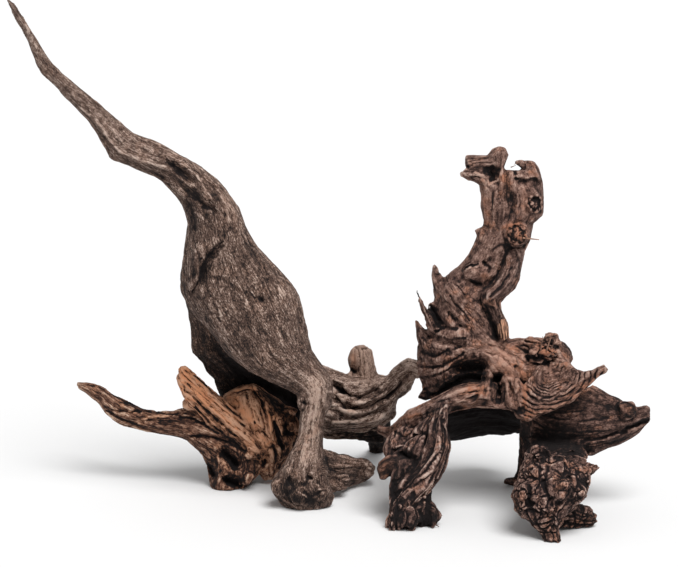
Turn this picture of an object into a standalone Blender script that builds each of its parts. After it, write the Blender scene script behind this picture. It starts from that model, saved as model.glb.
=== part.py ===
"""Bogwood: three weathered roots that lock together and rest on their feet.

The limbs were laid out on a drawing grid as seen from the front and a little above.
Columns run to the right and rows run down. Depth runs away from the viewer.
Each limb is a list of ribs, and each rib is a flattened ring between two grid points.
"""

import bmesh
import bpy
import numpy as np
from math import cos, pi, radians, sin
from mathutils import Vector, noise

SQUARE = 0.0007  # one square of the drawing grid, in metres
TILT = radians(16.0)  # how far the drawing looks down on the wood
FLOOR_ROW = 544.0  # the row where the floor meets the front plane
RING_POINTS = 28  # corners in each ring of a limb
RINGS_PER_RIB = 5  # rings drawn from one rib to the next
VOXEL = 0.0015  # grain of the fused root before it is thinned out
GAP = 0.0003  # clear space between pieces that lie against each other
LUMP_HEIGHT = 0.0009  # height of the soft lumps all over the wood
LUMP_SIZE = 0.016  # their width
CRUMB = 2.0e-7  # loose bits smaller than this many cubic metres are dropped
MASS_TOP = 375.0  # row of the top of the grey root's rear mass

TRIANGLES = {"Grey": 3300, "Tan": 1700, "Dark": 4600}
KEEP = 0.74  # share of the triangles that a piece keeps after the saw cuts
SOLE = 0.0003  # corners of a foot this near the floor are set on it

COLOURS = {
    "Grey": (0.155, 0.105, 0.078),
    "Tan": (0.262, 0.118, 0.058),
    "Dark": (0.092, 0.047, 0.034),
}

# Each rib: left column, left row, right column, right row, depth, half thickness, and
# optionally how much deeper its right end lies than its left end.
GREY_LIMBS = {
    "horn_and_trunk": [
        (9, 4, 13, 2, 150, 1.6),
        (16, 16, 23, 13, 150, 2.4),
        (24, 30, 33, 28, 151, 3.4),
        (34, 50, 45, 48, 152, 4.6),
        (40, 67, 54, 63, 152, 6.0),
        (51, 81, 63, 72, 152, 6.6),
        (70, 100, 85, 92, 151, 8.0),
        (88, 119, 103, 107, 150, 9.0),
        (100, 134, 121, 121, 150, 9.5),
        (110, 150, 139, 135, 150, 9.5),
        (114, 160, 152, 140, 150, 9.5),
        (133, 167, 165, 145, 150, 10),
        (150, 175, 181, 154, 150, 12),
        (164, 183, 198, 165, 151, 14),
        (181, 200, 215, 177, 152, 17),
        (187, 212, 229, 191, 154, 20),
        (189, 223, 240, 208, 156, 23),
        (189, 237, 248, 226, 158, 26),
        (187, 251, 258, 245, 160, 30),
        (182, 273, 277, 267, 163, 34),
        (182, 291, 297, 291, 165, 37),
        (196, 314, 302, 310, 166, 39),
        (212, 333, 306, 329, 166, 38),
        (228, 353, 312, 349, 164, 35),
        (250, 371, 321, 362, 161, 30),
        (279, 385, 329, 374, 157, 24),
        (298, 394, 333, 388, 153, 19),
        (303, 404, 332, 401, 150, 17),
        (301, 421, 325, 420, 148, 16),
        (298, 440, 323, 440, 146, 16),
        (290, 455, 324, 455, 143, 18),
        (281, 470, 327, 470, 140, 20),
        (271, 486, 330, 484, 137, 21),
        (277, 497, 335, 496, 136, 20),
        (284, 506, 332, 505, 136, 18),
        (292, 512, 322, 512, 136, 14),
    ],
    "rear_wall": [
        (186, 292, 232, 292, 182, 18),
        (188, 312, 238, 312, 190, 17),
        (192, 331, 246, 331, 199, 15),
        (191, 352, 256, 351, 213, 12),
        (202, 362, 275, 366, 226, 12),
        (205, 371, 288, 376, 233, 11, 8),
        (214, 380, 304, 388, 240, 11, 12),
        (220, 400, 310, 404, 246, 11, 16),
        (230, 426, 304, 428, 250, 11, 12),
        (240, 452, 292, 455, 252, 12),
        (250, 468, 280, 470, 252, 11),
        (252, 480, 276, 480, 252, 9),
    ],
    "side_root": [
        (318, 490, 318, 448, 146, 15),
        (336, 492, 336, 453, 168, 15),
        (352, 487, 351, 458, 192, 13),
        (364, 482, 366, 461, 208, 10),
        (372, 478, 376, 468, 216, 5),
    ],
    "rear_mass": [
        (300, 408, 303, 352, 192, 22),
        (312, 428, 312, 360, 206, 28),
        (326, 433, 326, 368, 216, 30),
        (345, 433, 345, MASS_TOP, 225, 30),
        (362, 432, 362, MASS_TOP + 1, 230, 30),
        (378, 430, 377, MASS_TOP + 1, 234, 28),
        (391, 420, 386, MASS_TOP + 2, 236, 20),
        (396, 410, 389, MASS_TOP + 3, 236, 12),
    ],
    "side_branch": [
        (394, 419, 374, 382, 234, 22),
        (397, 409, 382, 378, 234, 20),
        (399, 400, 390, 376, 228, 16),
        (408, 393, 397, 368, 218, 14),
        (414, 385, 405, 362, 204, 12),
        (416, 377, 413, 360, 190, 11),
        (420, 377, 419, 361, 178, 10),
        (425, 376, 424, 363, 168, 8),
    ],
    "under_mass": [
        (322, 440, 322, 412, 246, 12),
        (340, 442, 340, 412, 256, 14),
        (358, 441, 358, 410, 262, 14),
        (374, 445, 374, 410, 262, 14),
        (386, 444, 386, 410, 256, 12),
    ],
    "stub": [
        (346, 390, 382, 390, 232, 15),
        (351, 372, 378, 372, 232, 13),
        (349, 358, 375, 358, 232, 12),
        (351, 351, 372, 350, 232, 10),
        (356, 346, 366, 346, 232, 6),
    ],
    "rear_leg": [
        (352, 412, 392, 412, 246, 20),
        (360, 426, 392, 426, 268, 17),
        (368, 438, 390, 438, 300, 14),
        (371, 449, 389, 449, 326, 13),
        (371, 458, 389, 458, 330, 12),
    ],
}

TAN_LIMBS = {
    "arm": [
        (78, 389, 77, 383, 222, 2.4),
        (88, 395, 88, 384, 221, 4.4),
        (99, 405, 102, 387, 220, 6),
        (106, 416, 113, 395, 218, 8),
        (124, 426, 127, 402, 216, 9),
        (140, 431, 142, 409, 213, 9.5),
        (157, 434, 157, 412, 211, 10),
        (172, 437, 171, 412, 209, 11),
        (187, 441, 184, 409, 207, 13),
        (200, 451, 199, 410, 205, 15),
        (214, 463, 218, 414, 204, 17),
        (230, 466, 238, 420, 204, 17),
    ],
    "plank": [
        (177, 377, 188, 368, 186, 4.5),
        (181, 387, 198, 376, 187, 6.5),
        (186, 401, 210, 387, 189, 9),
        (197, 413, 221, 396, 191, 11),
        (212, 427, 233, 408, 193, 13),
        (228, 441, 247, 421, 195, 14),
        (242, 452, 262, 434, 197, 14),
        (255, 464, 275, 449, 200, 12),
    ],
    "dome": [
        (246, 385, 259, 385, 212, 6),
        (232, 390, 268, 392, 212, 12),
        (223, 397, 281, 401, 212, 18),
        (222, 409, 291, 412, 212, 23),
        (228, 425, 299, 422, 212, 25),
        (240, 440, 299, 440, 212, 24),
        (250, 455, 296, 453, 212, 20),
        (257, 470, 285, 470, 214, 14),
        (264, 481, 274, 481, 214, 6),
    ],
    "base": [
        (200, 436, 262, 436, 208, 18),
        (201, 452, 268, 454, 208, 22),
        (206, 468, 264, 468, 207, 22),
        (209, 480, 254, 480, 206, 21),
        (211, 490, 248, 488, 206, 19),
        (214, 500, 242, 498, 206, 15),
    ],
}

DARK_LIMBS = {
    "trunk": [
        (478, 172, 536, 172, 150, 15),
        (477, 178, 541, 179, 150, 19),
        (480, 190, 543, 190, 150, 21),
        (481, 205, 543, 208, 150, 21),
        (483, 214, 542, 216, 150, 21),
        (485, 221, 534, 222, 150, 20),
        (484, 229, 531, 230, 150, 19),
        (477, 240, 530, 243, 150, 19),
        (470, 255, 523, 256, 150, 20),
        (462, 266, 521, 270, 150, 22),
        (449, 276, 518, 284, 150, 25),
        (438, 290, 508, 296, 150, 28),
        (435, 304, 500, 306, 150, 30),
        (432, 316, 503, 318, 151, 33),
        (430, 330, 508, 332, 152, 36),
        (420, 345, 512, 345, 154, 39),
        (420, 358, 520, 355, 156, 40),
        (421, 372, 528, 372, 158, 38),
        (424, 386, 528, 386, 162, 34),
        (424, 397, 500, 394, 168, 26),
    ],
    "top_stub": [
        (502, 182, 504, 156, 148, 12),
        (483, 180, 485, 157, 148, 10),
        (468, 170, 467, 157, 147, 6),
    ],
    "under_stub": [
        (488, 188, 484, 168, 142, 8),
        (472, 181, 471, 170, 140, 5),
        (462, 176, 462, 172, 139, 2),
    ],
    "top_fin": [
        (524, 184, 542, 182, 152, 15),
        (525, 172, 540, 169, 152, 9),
        (522, 168, 533, 161, 151, 5),
        (517, 164, 521, 160, 150, 2),
    ],
    "thin_splinter": [
        (518, 240, 518, 235, 120, 3),
        (529, 240.5, 529, 236.5, 118, 2),
        (538, 241.5, 538, 238.5, 117, 1.6),
    ],
    "rope_strand": [
        (505, 248, 525, 250, 142, 10),
        (500, 268, 521, 270, 134, 12),
        (492, 284, 515, 288, 128, 11),
        (481, 292, 501, 301, 124, 10),
        (484, 306, 500, 304, 124, 9),
        (489, 318, 503, 314, 126, 8),
        (497, 329, 508, 326, 128, 6),
        (500, 341, 510, 339, 130, 6),
    ],
    "small_point": [
        (475, 233, 476, 229, 146, 1.6),
        (488, 238, 488, 228, 148, 6),
    ],
    "upper_spike": [
        (432, 265, 435, 263, 150, 1.6),
        (434, 280, 443, 277, 150, 4),
        (435, 294, 456, 288, 151, 10),
    ],
    "second_spike": [
        (430, 306, 433, 303, 140, 1.6),
        (432, 316, 440, 312, 140, 4),
        (440, 328, 455, 322, 142, 8),
    ],
    "long_spike": [
        (415.5, 289, 418.5, 287, 132, 2.0),
        (421, 307, 426, 305, 133, 3.0),
        (425, 318, 433, 315, 135, 4),
        (429, 332, 446, 326, 140, 8),
        (432, 345, 460, 338, 146, 12),
    ],
    "low_spike": [
        (416.5, 322, 419.5, 319, 142, 1.8),
        (417, 336, 428, 333, 144, 4.5),
        (420, 348, 440, 344, 148, 10),
    ],
    "curl": [
        (419, 398, 421, 391, 156, 3),
        (426, 401, 428, 388, 160, 7),
        (440, 396, 440, 380, 164, 12),
    ],
    "left_arm": [
        (522, 408, 522, 384, 122, 15),
        (500, 407, 496, 384, 116, 15),
        (480, 405, 478, 382, 112, 14),
        (458, 409, 453, 387, 111, 14),
        (438, 417, 430, 401, 116, 13),
        (420, 433, 412, 409, 128, 13),
        (404, 440, 400, 420, 150, 12),
        (391, 439, 389, 427, 176, 10),
        (379, 434, 379, 425, 196, 8),
    ],
    "leg_right_strand": [
        (439, 402, 451, 404, 104, 6),
        (434, 417, 449, 416, 98, 9),
        (432, 433, 450, 431, 92, 11),
        (429, 448, 451, 446, 86, 12),
        (419, 463, 445, 465, 80, 13),
        (408, 478, 438, 482, 75, 13),
        (399, 492, 424, 497, 71, 13),
        (392, 506, 415, 510, 69, 13),
        (388, 519, 412, 521, 68, 14),
        (391, 534, 410, 534, 69, 13),
    ],
    "leg_left_strand": [
        (424, 420, 440, 414, 108, 8),
        (411, 436, 434, 432, 103, 11),
        (401, 450, 428, 449, 96, 13),
        (396, 466, 420, 466, 89, 13),
        (392, 482, 412, 484, 83, 13),
        (392, 498, 408, 500, 79, 12),
        (390, 516, 406, 517, 77, 12),
    ],
    "leg_foot_strand": [
        (420, 474, 440, 474, 85, 10),
        (416, 486, 433, 487, 81, 11),
        (412, 500, 432, 501, 78, 12),
        (410, 513, 440, 514, 76, 13),
        (408, 524, 435, 524, 76, 13),
        (410, 534, 428, 533, 77, 11),
    ],
    "leg_strands": [
        (392, 432, 416, 424, 128, 9),
        (386, 442, 414, 436, 116, 10),
        (385, 454, 414, 450, 106, 10),
        (390, 466, 412, 464, 96, 10),
    ],
    "leg_stub": [
        (408, 472, 406, 450, 90, 9),
        (393, 475, 389, 456, 92, 9),
        (384, 480, 380, 462, 92, 7),
        (381, 477, 378, 466, 92, 4),
    ],
    "shoulder": [
        (488, 398, 488, 340, 150, 34),
        (510, 402, 510, 341, 150, 36),
        (529, 410, 528, 339, 150, 35),
        (547, 416, 545, 341, 150, 32),
        (560, 420, 558, 350, 150, 28),
        (572, 424, 570, 362, 148, 22),
        (582, 428, 582, 378, 145, 16),
    ],
    "shell": [
        (545, 360, 519, 394, 112, 6, -14),
        (548, 362, 521, 412, 110, 6, -22),
        (551, 362, 528, 422, 109, 6, -26),
        (554, 363, 541, 415, 108, 6, -28),
        (557, 363, 554, 410, 107, 6, -28),
        (560, 362, 568, 404, 107, 6, -26),
        (563, 361, 582, 394, 107, 6, -24),
        (566, 362, 592, 385, 107, 6, -20),
        (570, 365, 599, 378, 105, 5, -14),
        (582, 371, 602, 375, 100, 4, -4),
        (594, 368, 605, 373, 97, 3.4),
        (604, 364, 609, 370, 96, 2.6),
    ],
    "right_lobe": [
        (532, 436, 532, 398, 152, 16),
        (544, 444, 544, 396, 146, 20),
        (558, 450, 558, 396, 141, 24),
        (576, 455, 580, 392, 140, 26),
        (592, 456, 595, 387, 140, 24),
        (606, 450, 608, 393, 140, 21),
        (620, 445, 622, 400, 140, 18),
        (634, 437, 637, 407, 140, 13),
        (647, 426, 648, 404, 140, 8),
        (652, 420, 653, 407, 140, 5),
    ],
    "burl": [
        (536, 441, 580, 445, 128, 15),
        (530, 447, 586, 449, 114, 19),
        (525, 455, 588, 454, 90, 24),
        (521, 466, 586, 463, 66, 28),
        (515, 481, 588, 478, 50, 30),
        (512, 496, 586, 493, 44, 30),
        (518, 512, 570, 508, 38, 26),
        (532, 524, 560, 524, 32, 19),
        (540, 535, 560, 535, 24, 12),
        (542, 543, 563, 543, 18, 9),
        (543, 549, 563, 549, 18, 8),
    ],
    "right_spur": [
        (566, 480, 566, 458, 56, 14),
        (584, 480, 585, 462, 58, 10),
        (599, 470, 599, 464, 60, 3),
    ],
    "rear_foot": [
        (556, 526, 562, 500, 56, 14),
        (575, 529, 580, 503, 64, 13),
        (589, 527, 588, 507, 67, 11),
        (597, 522, 596, 513, 68, 6),
    ],
    "right_leg": [
        (521, 412, 542, 412, 158, 14),
        (522, 428, 539, 428, 176, 12),
        (522, 446, 536, 446, 196, 10),
        (521, 464, 535, 464, 211, 9),
        (517, 480, 534, 480, 220, 10),
        (514, 492, 534, 492, 222, 10),
    ],
    "left_spur": [
        (530, 492, 530, 476, 214, 9),
        (518, 490, 518, 478, 210, 7),
        (507, 485, 507, 480, 206, 2.4),
    ],
    "rear_skirt": [
        (448, 444, 444, 386, 205, 13, -40),
        (466, 440, 466, 384, 218, 13, -44),
        (486, 436, 486, 384, 224, 13, -48),
        (506, 435, 506, 384, 222, 13, -46),
        (526, 434, 526, 384, 208, 13, -36),
    ],
}

# Round lumps: column, row, depth, half width, half height, half thickness.
GREY_LUMPS = [
    (303, 401, 138, 5, 6, 6),
    (284, 488, 124, 12, 9, 8),
    (302, 496, 120, 12, 10, 8),
    (322, 492, 126, 10, 9, 8),
    (294, 473, 128, 9, 10, 8),
    (366, 470, 204, 9, 8, 8),
    (340, 482, 166, 10, 9, 10),
]

TAN_LUMPS = [
    (190, 405, 198, 8, 6, 8),
    (226, 470, 190, 8, 7, 6),
    (246, 478, 190, 10, 8, 7),
    (250, 452, 190, 9, 8, 7),
    (234, 447, 190, 9, 5, 6),
    (290, 412, 204, 9, 5, 10),
    (283, 419, 194, 6, 5, 5),
    (293, 427, 198, 5, 6, 5),
    (281, 431, 194, 5, 5, 5),
    (290, 440, 197, 5, 6, 5),
]

DARK_LUMPS = [
    (499, 156, 146, 9.5, 9.5, 9),
    (535, 203, 134, 8, 11, 8),
    (517, 234, 132, 12.5, 12, 15),
    (477, 272, 130, 14, 10, 9),
    (456, 292, 128, 12, 12, 8),
    (540, 352, 124, 12, 11, 12),
    (552, 343, 126, 9, 9, 10),
    (533, 343, 134, 6, 6, 8),
    (559, 356, 168, 15, 15, 14),
    (627, 410, 124, 10, 9, 7),
    (487, 380, 108, 7, 13, 6),
    (507, 386, 110, 6, 11, 6),
    (517, 388, 108, 7, 11, 6),
    (470, 396, 104, 13, 8, 7),
    (514, 401, 110, 9, 9, 10),
    (521, 411, 106, 6, 8, 9),
    (540, 452, 60, 10, 8, 9),
    (556, 462, 46, 12, 9, 10),
    (536, 470, 38, 11, 9, 9),
    (561, 488, 20, 11, 11, 7),
    (528, 490, 24, 11, 11, 8),
    (545, 506, 18, 12, 10, 8),
    (574, 492, 28, 10, 10, 8),
    (526, 506, 26, 8, 8, 7),
    (549, 520, 20, 9, 8, 7),
    (402, 510, 58, 5, 16, 7),
    (421, 506, 64, 5, 15, 7),
    (393, 520, 58, 5, 9, 7),
    (412, 518, 56, 5, 12, 7),
    (432, 516, 66, 5, 10, 7),
    (535, 440, 134, 6, 5, 9),
    (414, 456, 84, 6, 8, 5),
    (404, 464, 82, 6, 6, 5),
]

# Strokes cut into the face that looks at the viewer, or raised on it:
# grid points, half width, and height towards the viewer, both in squares.
GREY_STROKES = [
    ([(84, 110), (100, 125), (113, 144), (122, 153), (150, 164), (170, 169)], 3.0, 2.4),
    ([(184, 166), (198, 178), (206, 191), (212, 213)], 3.2, 3.0),
    ([(160, 174), (176, 181), (191, 193), (206, 204), (219, 212)], 4.5, -4.5),
    ([(172, 165), (184, 172), (196, 181)], 3.5, -3.0),
    ([(190, 200), (196, 214), (198, 230)], 3.5, -3.5),
    ([(200, 248), (192, 261), (190, 276), (194, 287)], 4.0, 3.0),
    ([(197, 256), (195, 268), (197, 280)], 6.5, 4.0),
    ([(222, 246), (211, 257), (205, 268), (203, 279), (195, 291)], 3.6, -6.0),
    ([(263, 270), (272, 282), (280, 294)], 2.6, -1.6),
    ([(262, 298), (265, 302)], 4.5, -2.0),
    ([(300, 318), (307, 334)], 3.0, -2.4),
    ([(304, 402), (306, 403)], 2.6, -5.0),
    ([(316, 408), (310, 440), (309, 474)], 2.8, -1.8),
    ([(309, 476), (312, 479)], 2.4, -4.0),
    ([(286, 478), (300, 486), (318, 482)], 3.0, -2.2),
    ([(279, 481), (284, 492)], 6.0, -4.0),
    ([(288, 468), (287, 482), (293, 498)], 2.4, 2.6),
    ([(334, 386), (342, 391), (352, 397), (364, 398), (378, 392)], 3.4, -8.0),
    ([(335, 400), (350, 408), (363, 409), (376, 404), (392, 394), (404, 383)], 3.0, -6.0),
    ([(340, 416), (356, 418), (372, 414), (386, 410)], 3.0, -5.0),
    ([(336, 379), (352, 385), (366, 388), (380, 383), (392, 375)], 3.0, 3.0),
    ([(338, 395), (352, 402), (366, 403), (382, 397), (398, 384)], 2.6, 3.4),
    ([(338, 408), (354, 413), (370, 411), (386, 403)], 2.6, 3.0),
    ([(355, 370), (357, 373)], 2.4, -3.5),
    ([(336, 472), (350, 470), (364, 468)], 3.0, -2.0),
]

TAN_STROKES = [
    ([(188, 372), (214, 392), (244, 418), (262, 432)], 1.8, -2.6),
    ([(183, 376), (208, 398), (234, 424), (254, 440)], 1.8, -2.8),
    ([(183, 386), (204, 407), (226, 428), (248, 446)], 2.0, -3.0),
    ([(187, 400), (204, 414), (226, 434), (246, 450)], 2.6, -4.0),
    ([(194, 437), (212, 437), (230, 443), (246, 452)], 2.4, -5.0),
    ([(105, 411), (120, 412), (140, 414)], 2.0, -2.4),
    ([(108, 414), (122, 420), (140, 421), (160, 421)], 2.2, -2.6),
    ([(172, 420), (190, 419), (206, 422)], 3.0, -3.0),
    ([(256, 388), (264, 404), (268, 424), (272, 444)], 2.4, -3.0),
    ([(262, 388), (274, 404), (284, 410)], 2.0, -2.4),
    ([(238, 397), (236, 412), (246, 430)], 4.0, -3.0),
    ([(226, 453), (233, 459), (237, 465)], 5.0, -13.0),
    ([(265, 455), (266, 462)], 3.4, -9.0),
    ([(211, 469), (214, 476)], 4.6, -10.0),
    ([(227, 480), (238, 484)], 4.6, -12.0),
    ([(275, 422), (278, 436), (284, 448)], 2.4, -6.0),
    ([(287, 421), (286, 434), (297, 434)], 2.0, -5.0),
    ([(222, 399), (236, 415), (250, 433), (261, 448)], 2.4, -4.0),
    ([(228, 402), (240, 397), (252, 397), (261, 406)], 2.0, 1.8),
    ([(254, 386), (266, 399), (271, 416), (273, 440)], 2.8, 3.2),
    ([(276, 450), (279, 470)], 2.4, -4.0),
    ([(288, 452), (284, 466)], 2.2, -3.0),
]

DARK_STROKES = [
    ([(492, 173), (494, 180)], 6.0, -8.0),
    ([(518, 183), (528, 184), (538, 183)], 2.8, -7.0),
    ([(506, 172), (506, 196)], 2.6, -3.0),
    ([(513, 196), (514, 210)], 4.0, -4.0),
    ([(535, 199), (536, 206)], 3.0, -4.0),
    ([(507, 236), (512, 244), (522, 246), (529, 240)], 3.0, -5.0),
    ([(491, 259), (482, 266), (478, 270)], 2.6, -5.0),
    ([(466, 274), (472, 267), (484, 270), (500, 270)], 2.6, -4.0),
    ([(470, 282), (480, 283)], 2.6, -5.0),
    ([(505, 262), (498, 276), (484, 289), (481, 303)], 2.8, -4.0),
    ([(487, 308), (494, 320), (498, 336)], 4.5, -10.0),
    ([(434, 310), (442, 320), (448, 327)], 2.8, -7.0),
    ([(450, 314), (459, 325), (468, 328)], 2.4, -4.0),
    ([(431, 336), (444, 342), (464, 344)], 3.4, -7.0),
    ([(424, 352), (438, 354), (452, 353)], 3.0, -4.0),
    ([(424, 366), (440, 366), (456, 358)], 3.0, -3.0),
    ([(462, 368), (472, 366), (482, 366)], 7.0, -20.0),
    ([(436, 394), (452, 384), (472, 376), (482, 378)], 4.5, -16.0),
    ([(434, 390), (448, 381), (460, 372), (468, 362), (478, 358)], 2.6, 7.0),
    ([(499, 378), (500, 388), (499, 398)], 5.5, -18.0),
    ([(511, 382), (512, 394)], 2.4, -6.0),
    ([(528, 358), (530, 364)], 3.4, -5.0),
    ([(534, 363), (546, 364), (556, 357)], 2.6, -6.0),
    ([(531, 361), (541, 351), (553, 340)], 1.8, -4.0),
    ([(541, 363), (549, 354), (559, 345)], 1.8, -4.0),
    ([(527, 351), (536, 344), (546, 337)], 1.6, -3.0),
    ([(537, 380), (541, 388), (550, 392), (562, 391), (576, 384)], 1.8, -2.2),
    ([(532, 382), (536, 392), (548, 398), (564, 397), (582, 388)], 1.8, -2.4),
    ([(528, 388), (533, 398), (546, 405), (562, 402), (584, 391)], 1.8, -2.2),
    ([(526, 396), (532, 405), (544, 410), (560, 407)], 1.8, -2.0),
    ([(548, 378), (566, 384)], 12.0, -6.0),
    ([(524, 416), (534, 415), (548, 410), (564, 403), (582, 392), (600, 378)], 2.8, 3.4),
    ([(541, 476), (545, 490), (551, 503)], 2.2, -4.0),
    ([(566, 472), (572, 484), (570, 497)], 2.2, -4.0),
    ([(549, 491), (553, 500), (560, 503), (567, 497)], 1.8, -3.6),
    ([(522, 476), (530, 488), (527, 502)], 2.0, -3.4),
    ([(583, 438), (600, 436), (622, 430), (648, 421)], 2.4, -5.0),
    ([(584, 449), (594, 450)], 2.4, -4.0),
    ([(562, 440), (580, 436)], 2.4, -3.0),
    ([(617, 407), (621, 418), (632, 418)], 2.0, -3.0),
    ([(478, 395), (460, 404), (450, 410)], 2.0, -3.0),
    ([(420, 424), (406, 430), (392, 438)], 2.4, -4.0),
    ([(402, 438), (414, 437), (422, 434)], 4.0, -9.0),
    ([(396, 452), (406, 454), (414, 459)], 4.6, -9.0),
    ([(432, 427), (438, 438), (438, 452), (430, 467), (414, 478)], 2.0, 3.0),
    ([(428, 436), (430, 448), (424, 462), (412, 472), (398, 480)], 2.6, -5.0),
    ([(444, 418), (446, 434), (445, 448), (438, 464), (426, 478), (412, 490)], 2.0, -3.0),
    ([(436, 478), (424, 490), (412, 502), (402, 512)], 2.4, -4.5),
    ([(424, 500), (426, 512), (420, 522)], 2.2, -3.6),
]

# Where a root is parted: left column and row, right column and row, the nearest and the
# farthest depth that the thin saw cut reaches.
GREY_CUTS = [
    (184, 226, 245, 207, 110, 210),
    (294, 401, 340, 397, 120, 172),
    (330, 442, 330, 340, 173, 270),
    (180, 357, 312, 359, 203, 262),
    (404, 420, 378, 371, 196, 268),
    (341, 374, 387, 374, 205, 260),
    (356, 436, 398, 436, 262, 350),
    (333, 502, 333, 442, 130, 200),
]

TAN_CUTS = [
    (178, 448, 178, 400, 180, 232),
    (174, 418, 224, 389, 168, 222),
]

DARK_CUTS = [
    (454, 269, 528, 265, 100, 190),
    (525, 436, 526, 326, 80, 196),
    (572, 446, 572, 352, 107, 186),
    (516, 443, 628, 448, 60, 180),
    (450, 424, 446, 378, 90, 137),
    (376, 441, 458, 429, 66, 142),
    (514, 440, 546, 440, 160, 224),
    (436, 403, 536, 403, 172, 262),
]

# A point inside each piece: column, row, depth. The nearest piece takes the name.
GREY_NAMES = {
    "Grey_root_tall_horn": (150, 160, 150),
    "Grey_root_trunk": (250, 300, 165),
    "Grey_root_front_leg": (310, 460, 145),
    "Grey_root_side_root": (355, 472, 195),
    "Grey_root_rear_wall": (262, 410, 242),
    "Grey_root_rear_mass": (358, 405, 230),
    "Grey_root_side_branch": (409, 376, 200),
    "Grey_root_upright_stub": (362, 360, 232),
    "Grey_root_rear_leg": (380, 448, 325),
}

TAN_NAMES = {
    "Tan_root_long_arm": (140, 420, 213),
    "Tan_root_slanting_plank": (195, 388, 188),
    "Tan_root_base": (240, 450, 208),
}

DARK_NAMES = {
    "Dark_root_broken_top": (505, 220, 150),
    "Dark_root_trunk": (470, 340, 155),
    "Dark_root_shell": (550, 385, 140),
    "Dark_root_right_lobe": (610, 420, 140),
    "Dark_root_burl_foot": (550, 490, 45),
    "Dark_root_left_arm": (425, 415, 122),
    "Dark_root_middle_leg": (415, 490, 75),
    "Dark_root_rear_wall": (490, 420, 235),
    "Dark_root_right_leg": (528, 465, 212),
}

AWAY = np.array([0.0, cos(TILT), -sin(TILT)])  # straight away from the viewer


def grid_point(column, row, depth):
    """A point of the drawing grid at a depth behind the front plane, in metres."""
    up = (FLOOR_ROW - row) * SQUARE
    y = depth * SQUARE
    z = (up - y * sin(TILT)) / cos(TILT)
    return np.array([column * SQUARE, y, z])


def to_grid(points):
    """Columns and rows where points in metres stand on the drawing grid."""
    up = points[:, 2] * cos(TILT) + points[:, 1] * sin(TILT)
    return np.stack([points[:, 0] / SQUARE, FLOOR_ROW - up / SQUARE], axis=1)


def clear_scene():
    """Starts from nothing."""
    for thing in list(bpy.data.objects):
        bpy.data.objects.remove(thing, do_unlink=True)


def new_object(name, vertices, faces):
    """Adds a mesh object made of these vertices and faces."""
    mesh = bpy.data.meshes.new(name)
    mesh.from_pydata([tuple(v) for v in vertices], [], faces)
    mesh.update()
    thing = bpy.data.objects.new(name, mesh)
    bpy.context.scene.collection.objects.link(thing)
    return thing


def rib_row(rib):
    """A rib as one row of numbers: its left end, its right end and its half thickness."""
    lean = rib[6] if len(rib) > 6 else 0.0
    left = grid_point(rib[0], rib[1], rib[4] - lean / 2)
    right = grid_point(rib[2], rib[3], rib[4] + lean / 2)
    return np.concatenate([left, right, [rib[5] * SQUARE]])


def smooth_rows(rows):
    """Rows on a smooth curve through the given rows."""
    rows = np.array(rows)
    padded = np.concatenate([[2 * rows[0] - rows[1]], rows, [2 * rows[-1] - rows[-2]]])
    out = []
    for i in range(1, len(padded) - 2):
        a, b, c, d = padded[i - 1 : i + 3]
        for k in range(RINGS_PER_RIB):
            t = k / RINGS_PER_RIB
            straight = b + (c - b) * t
            bend = 0.5 * (
                2 * b
                + (c - a) * t
                + (2 * a - 5 * b + 4 * c - d) * t * t
                + (3 * b - a - 3 * c + d) * t * t * t
            )
            out.append(0.3 * straight + 0.7 * bend)
    out.append(rows[-1])
    return np.array(out)


def limb_solid(name, ribs, flutes):
    """A closed tube through the ribs, with lengthwise flutes."""
    rows = smooth_rows([rib_row(rib) for rib in ribs])
    count, height = flutes
    angles = np.arange(RING_POINTS) * 2 * pi / RING_POINTS
    vertices = []
    for i, row in enumerate(rows):
        middle = (row[0:3] + row[3:6]) / 2
        across = (row[3:6] - row[0:3]) / 2
        swell = 1 + height * np.cos(count * angles + 0.05 * i)
        for angle, size in zip(angles, swell):
            out = across * cos(angle) + AWAY * row[6] * sin(angle)
            vertices.append(middle + out * size)
    rings = len(rows)
    faces = []
    for i in range(rings - 1):
        for k in range(RING_POINTS):
            n = (k + 1) % RING_POINTS
            a = i * RING_POINTS
            b = a + RING_POINTS
            faces.append((a + k, a + n, b + n, b + k))
    faces.append(tuple(range(RING_POINTS))[::-1])
    last = (rings - 1) * RING_POINTS
    faces.append(tuple(last + k for k in range(RING_POINTS)))
    thing = new_object(name, vertices, faces)
    face_outwards(thing)
    return thing


def lump_solid(name, lump):
    """A round lump."""
    column, row, depth, width, height, thickness = lump
    middle = grid_point(column, row, depth)
    mesh = bpy.data.meshes.new(name)
    work = bmesh.new()
    bmesh.ops.create_uvsphere(work, u_segments=20, v_segments=12, radius=1.0)
    rise = np.array([0.0, sin(TILT), cos(TILT)])
    for v in work.verts:
        x, y, z = v.co
        spot = middle + np.array([x * width * SQUARE, 0.0, 0.0])
        spot = spot + rise * z * height * SQUARE + AWAY * y * thickness * SQUARE
        v.co = Vector(spot)
    work.to_mesh(mesh)
    work.free()
    thing = bpy.data.objects.new(name, mesh)
    bpy.context.scene.collection.objects.link(thing)
    face_outwards(thing)
    return thing


def face_outwards(thing):
    """Turns the faces outwards."""
    work = bmesh.new()
    work.from_mesh(thing.data)
    bmesh.ops.recalc_face_normals(work, faces=work.faces[:])
    if work.calc_volume(signed=True) < 0:
        bmesh.ops.reverse_faces(work, faces=work.faces[:])
    work.to_mesh(thing.data)
    work.free()


def join(things, name):
    """Makes one object of several."""
    bpy.ops.object.select_all(action="DESELECT")
    for thing in things:
        thing.select_set(True)
    bpy.context.view_layer.objects.active = things[0]
    if len(things) > 1:
        bpy.ops.object.join()
    joined = bpy.context.view_layer.objects.active
    joined.name = name
    return joined


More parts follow.
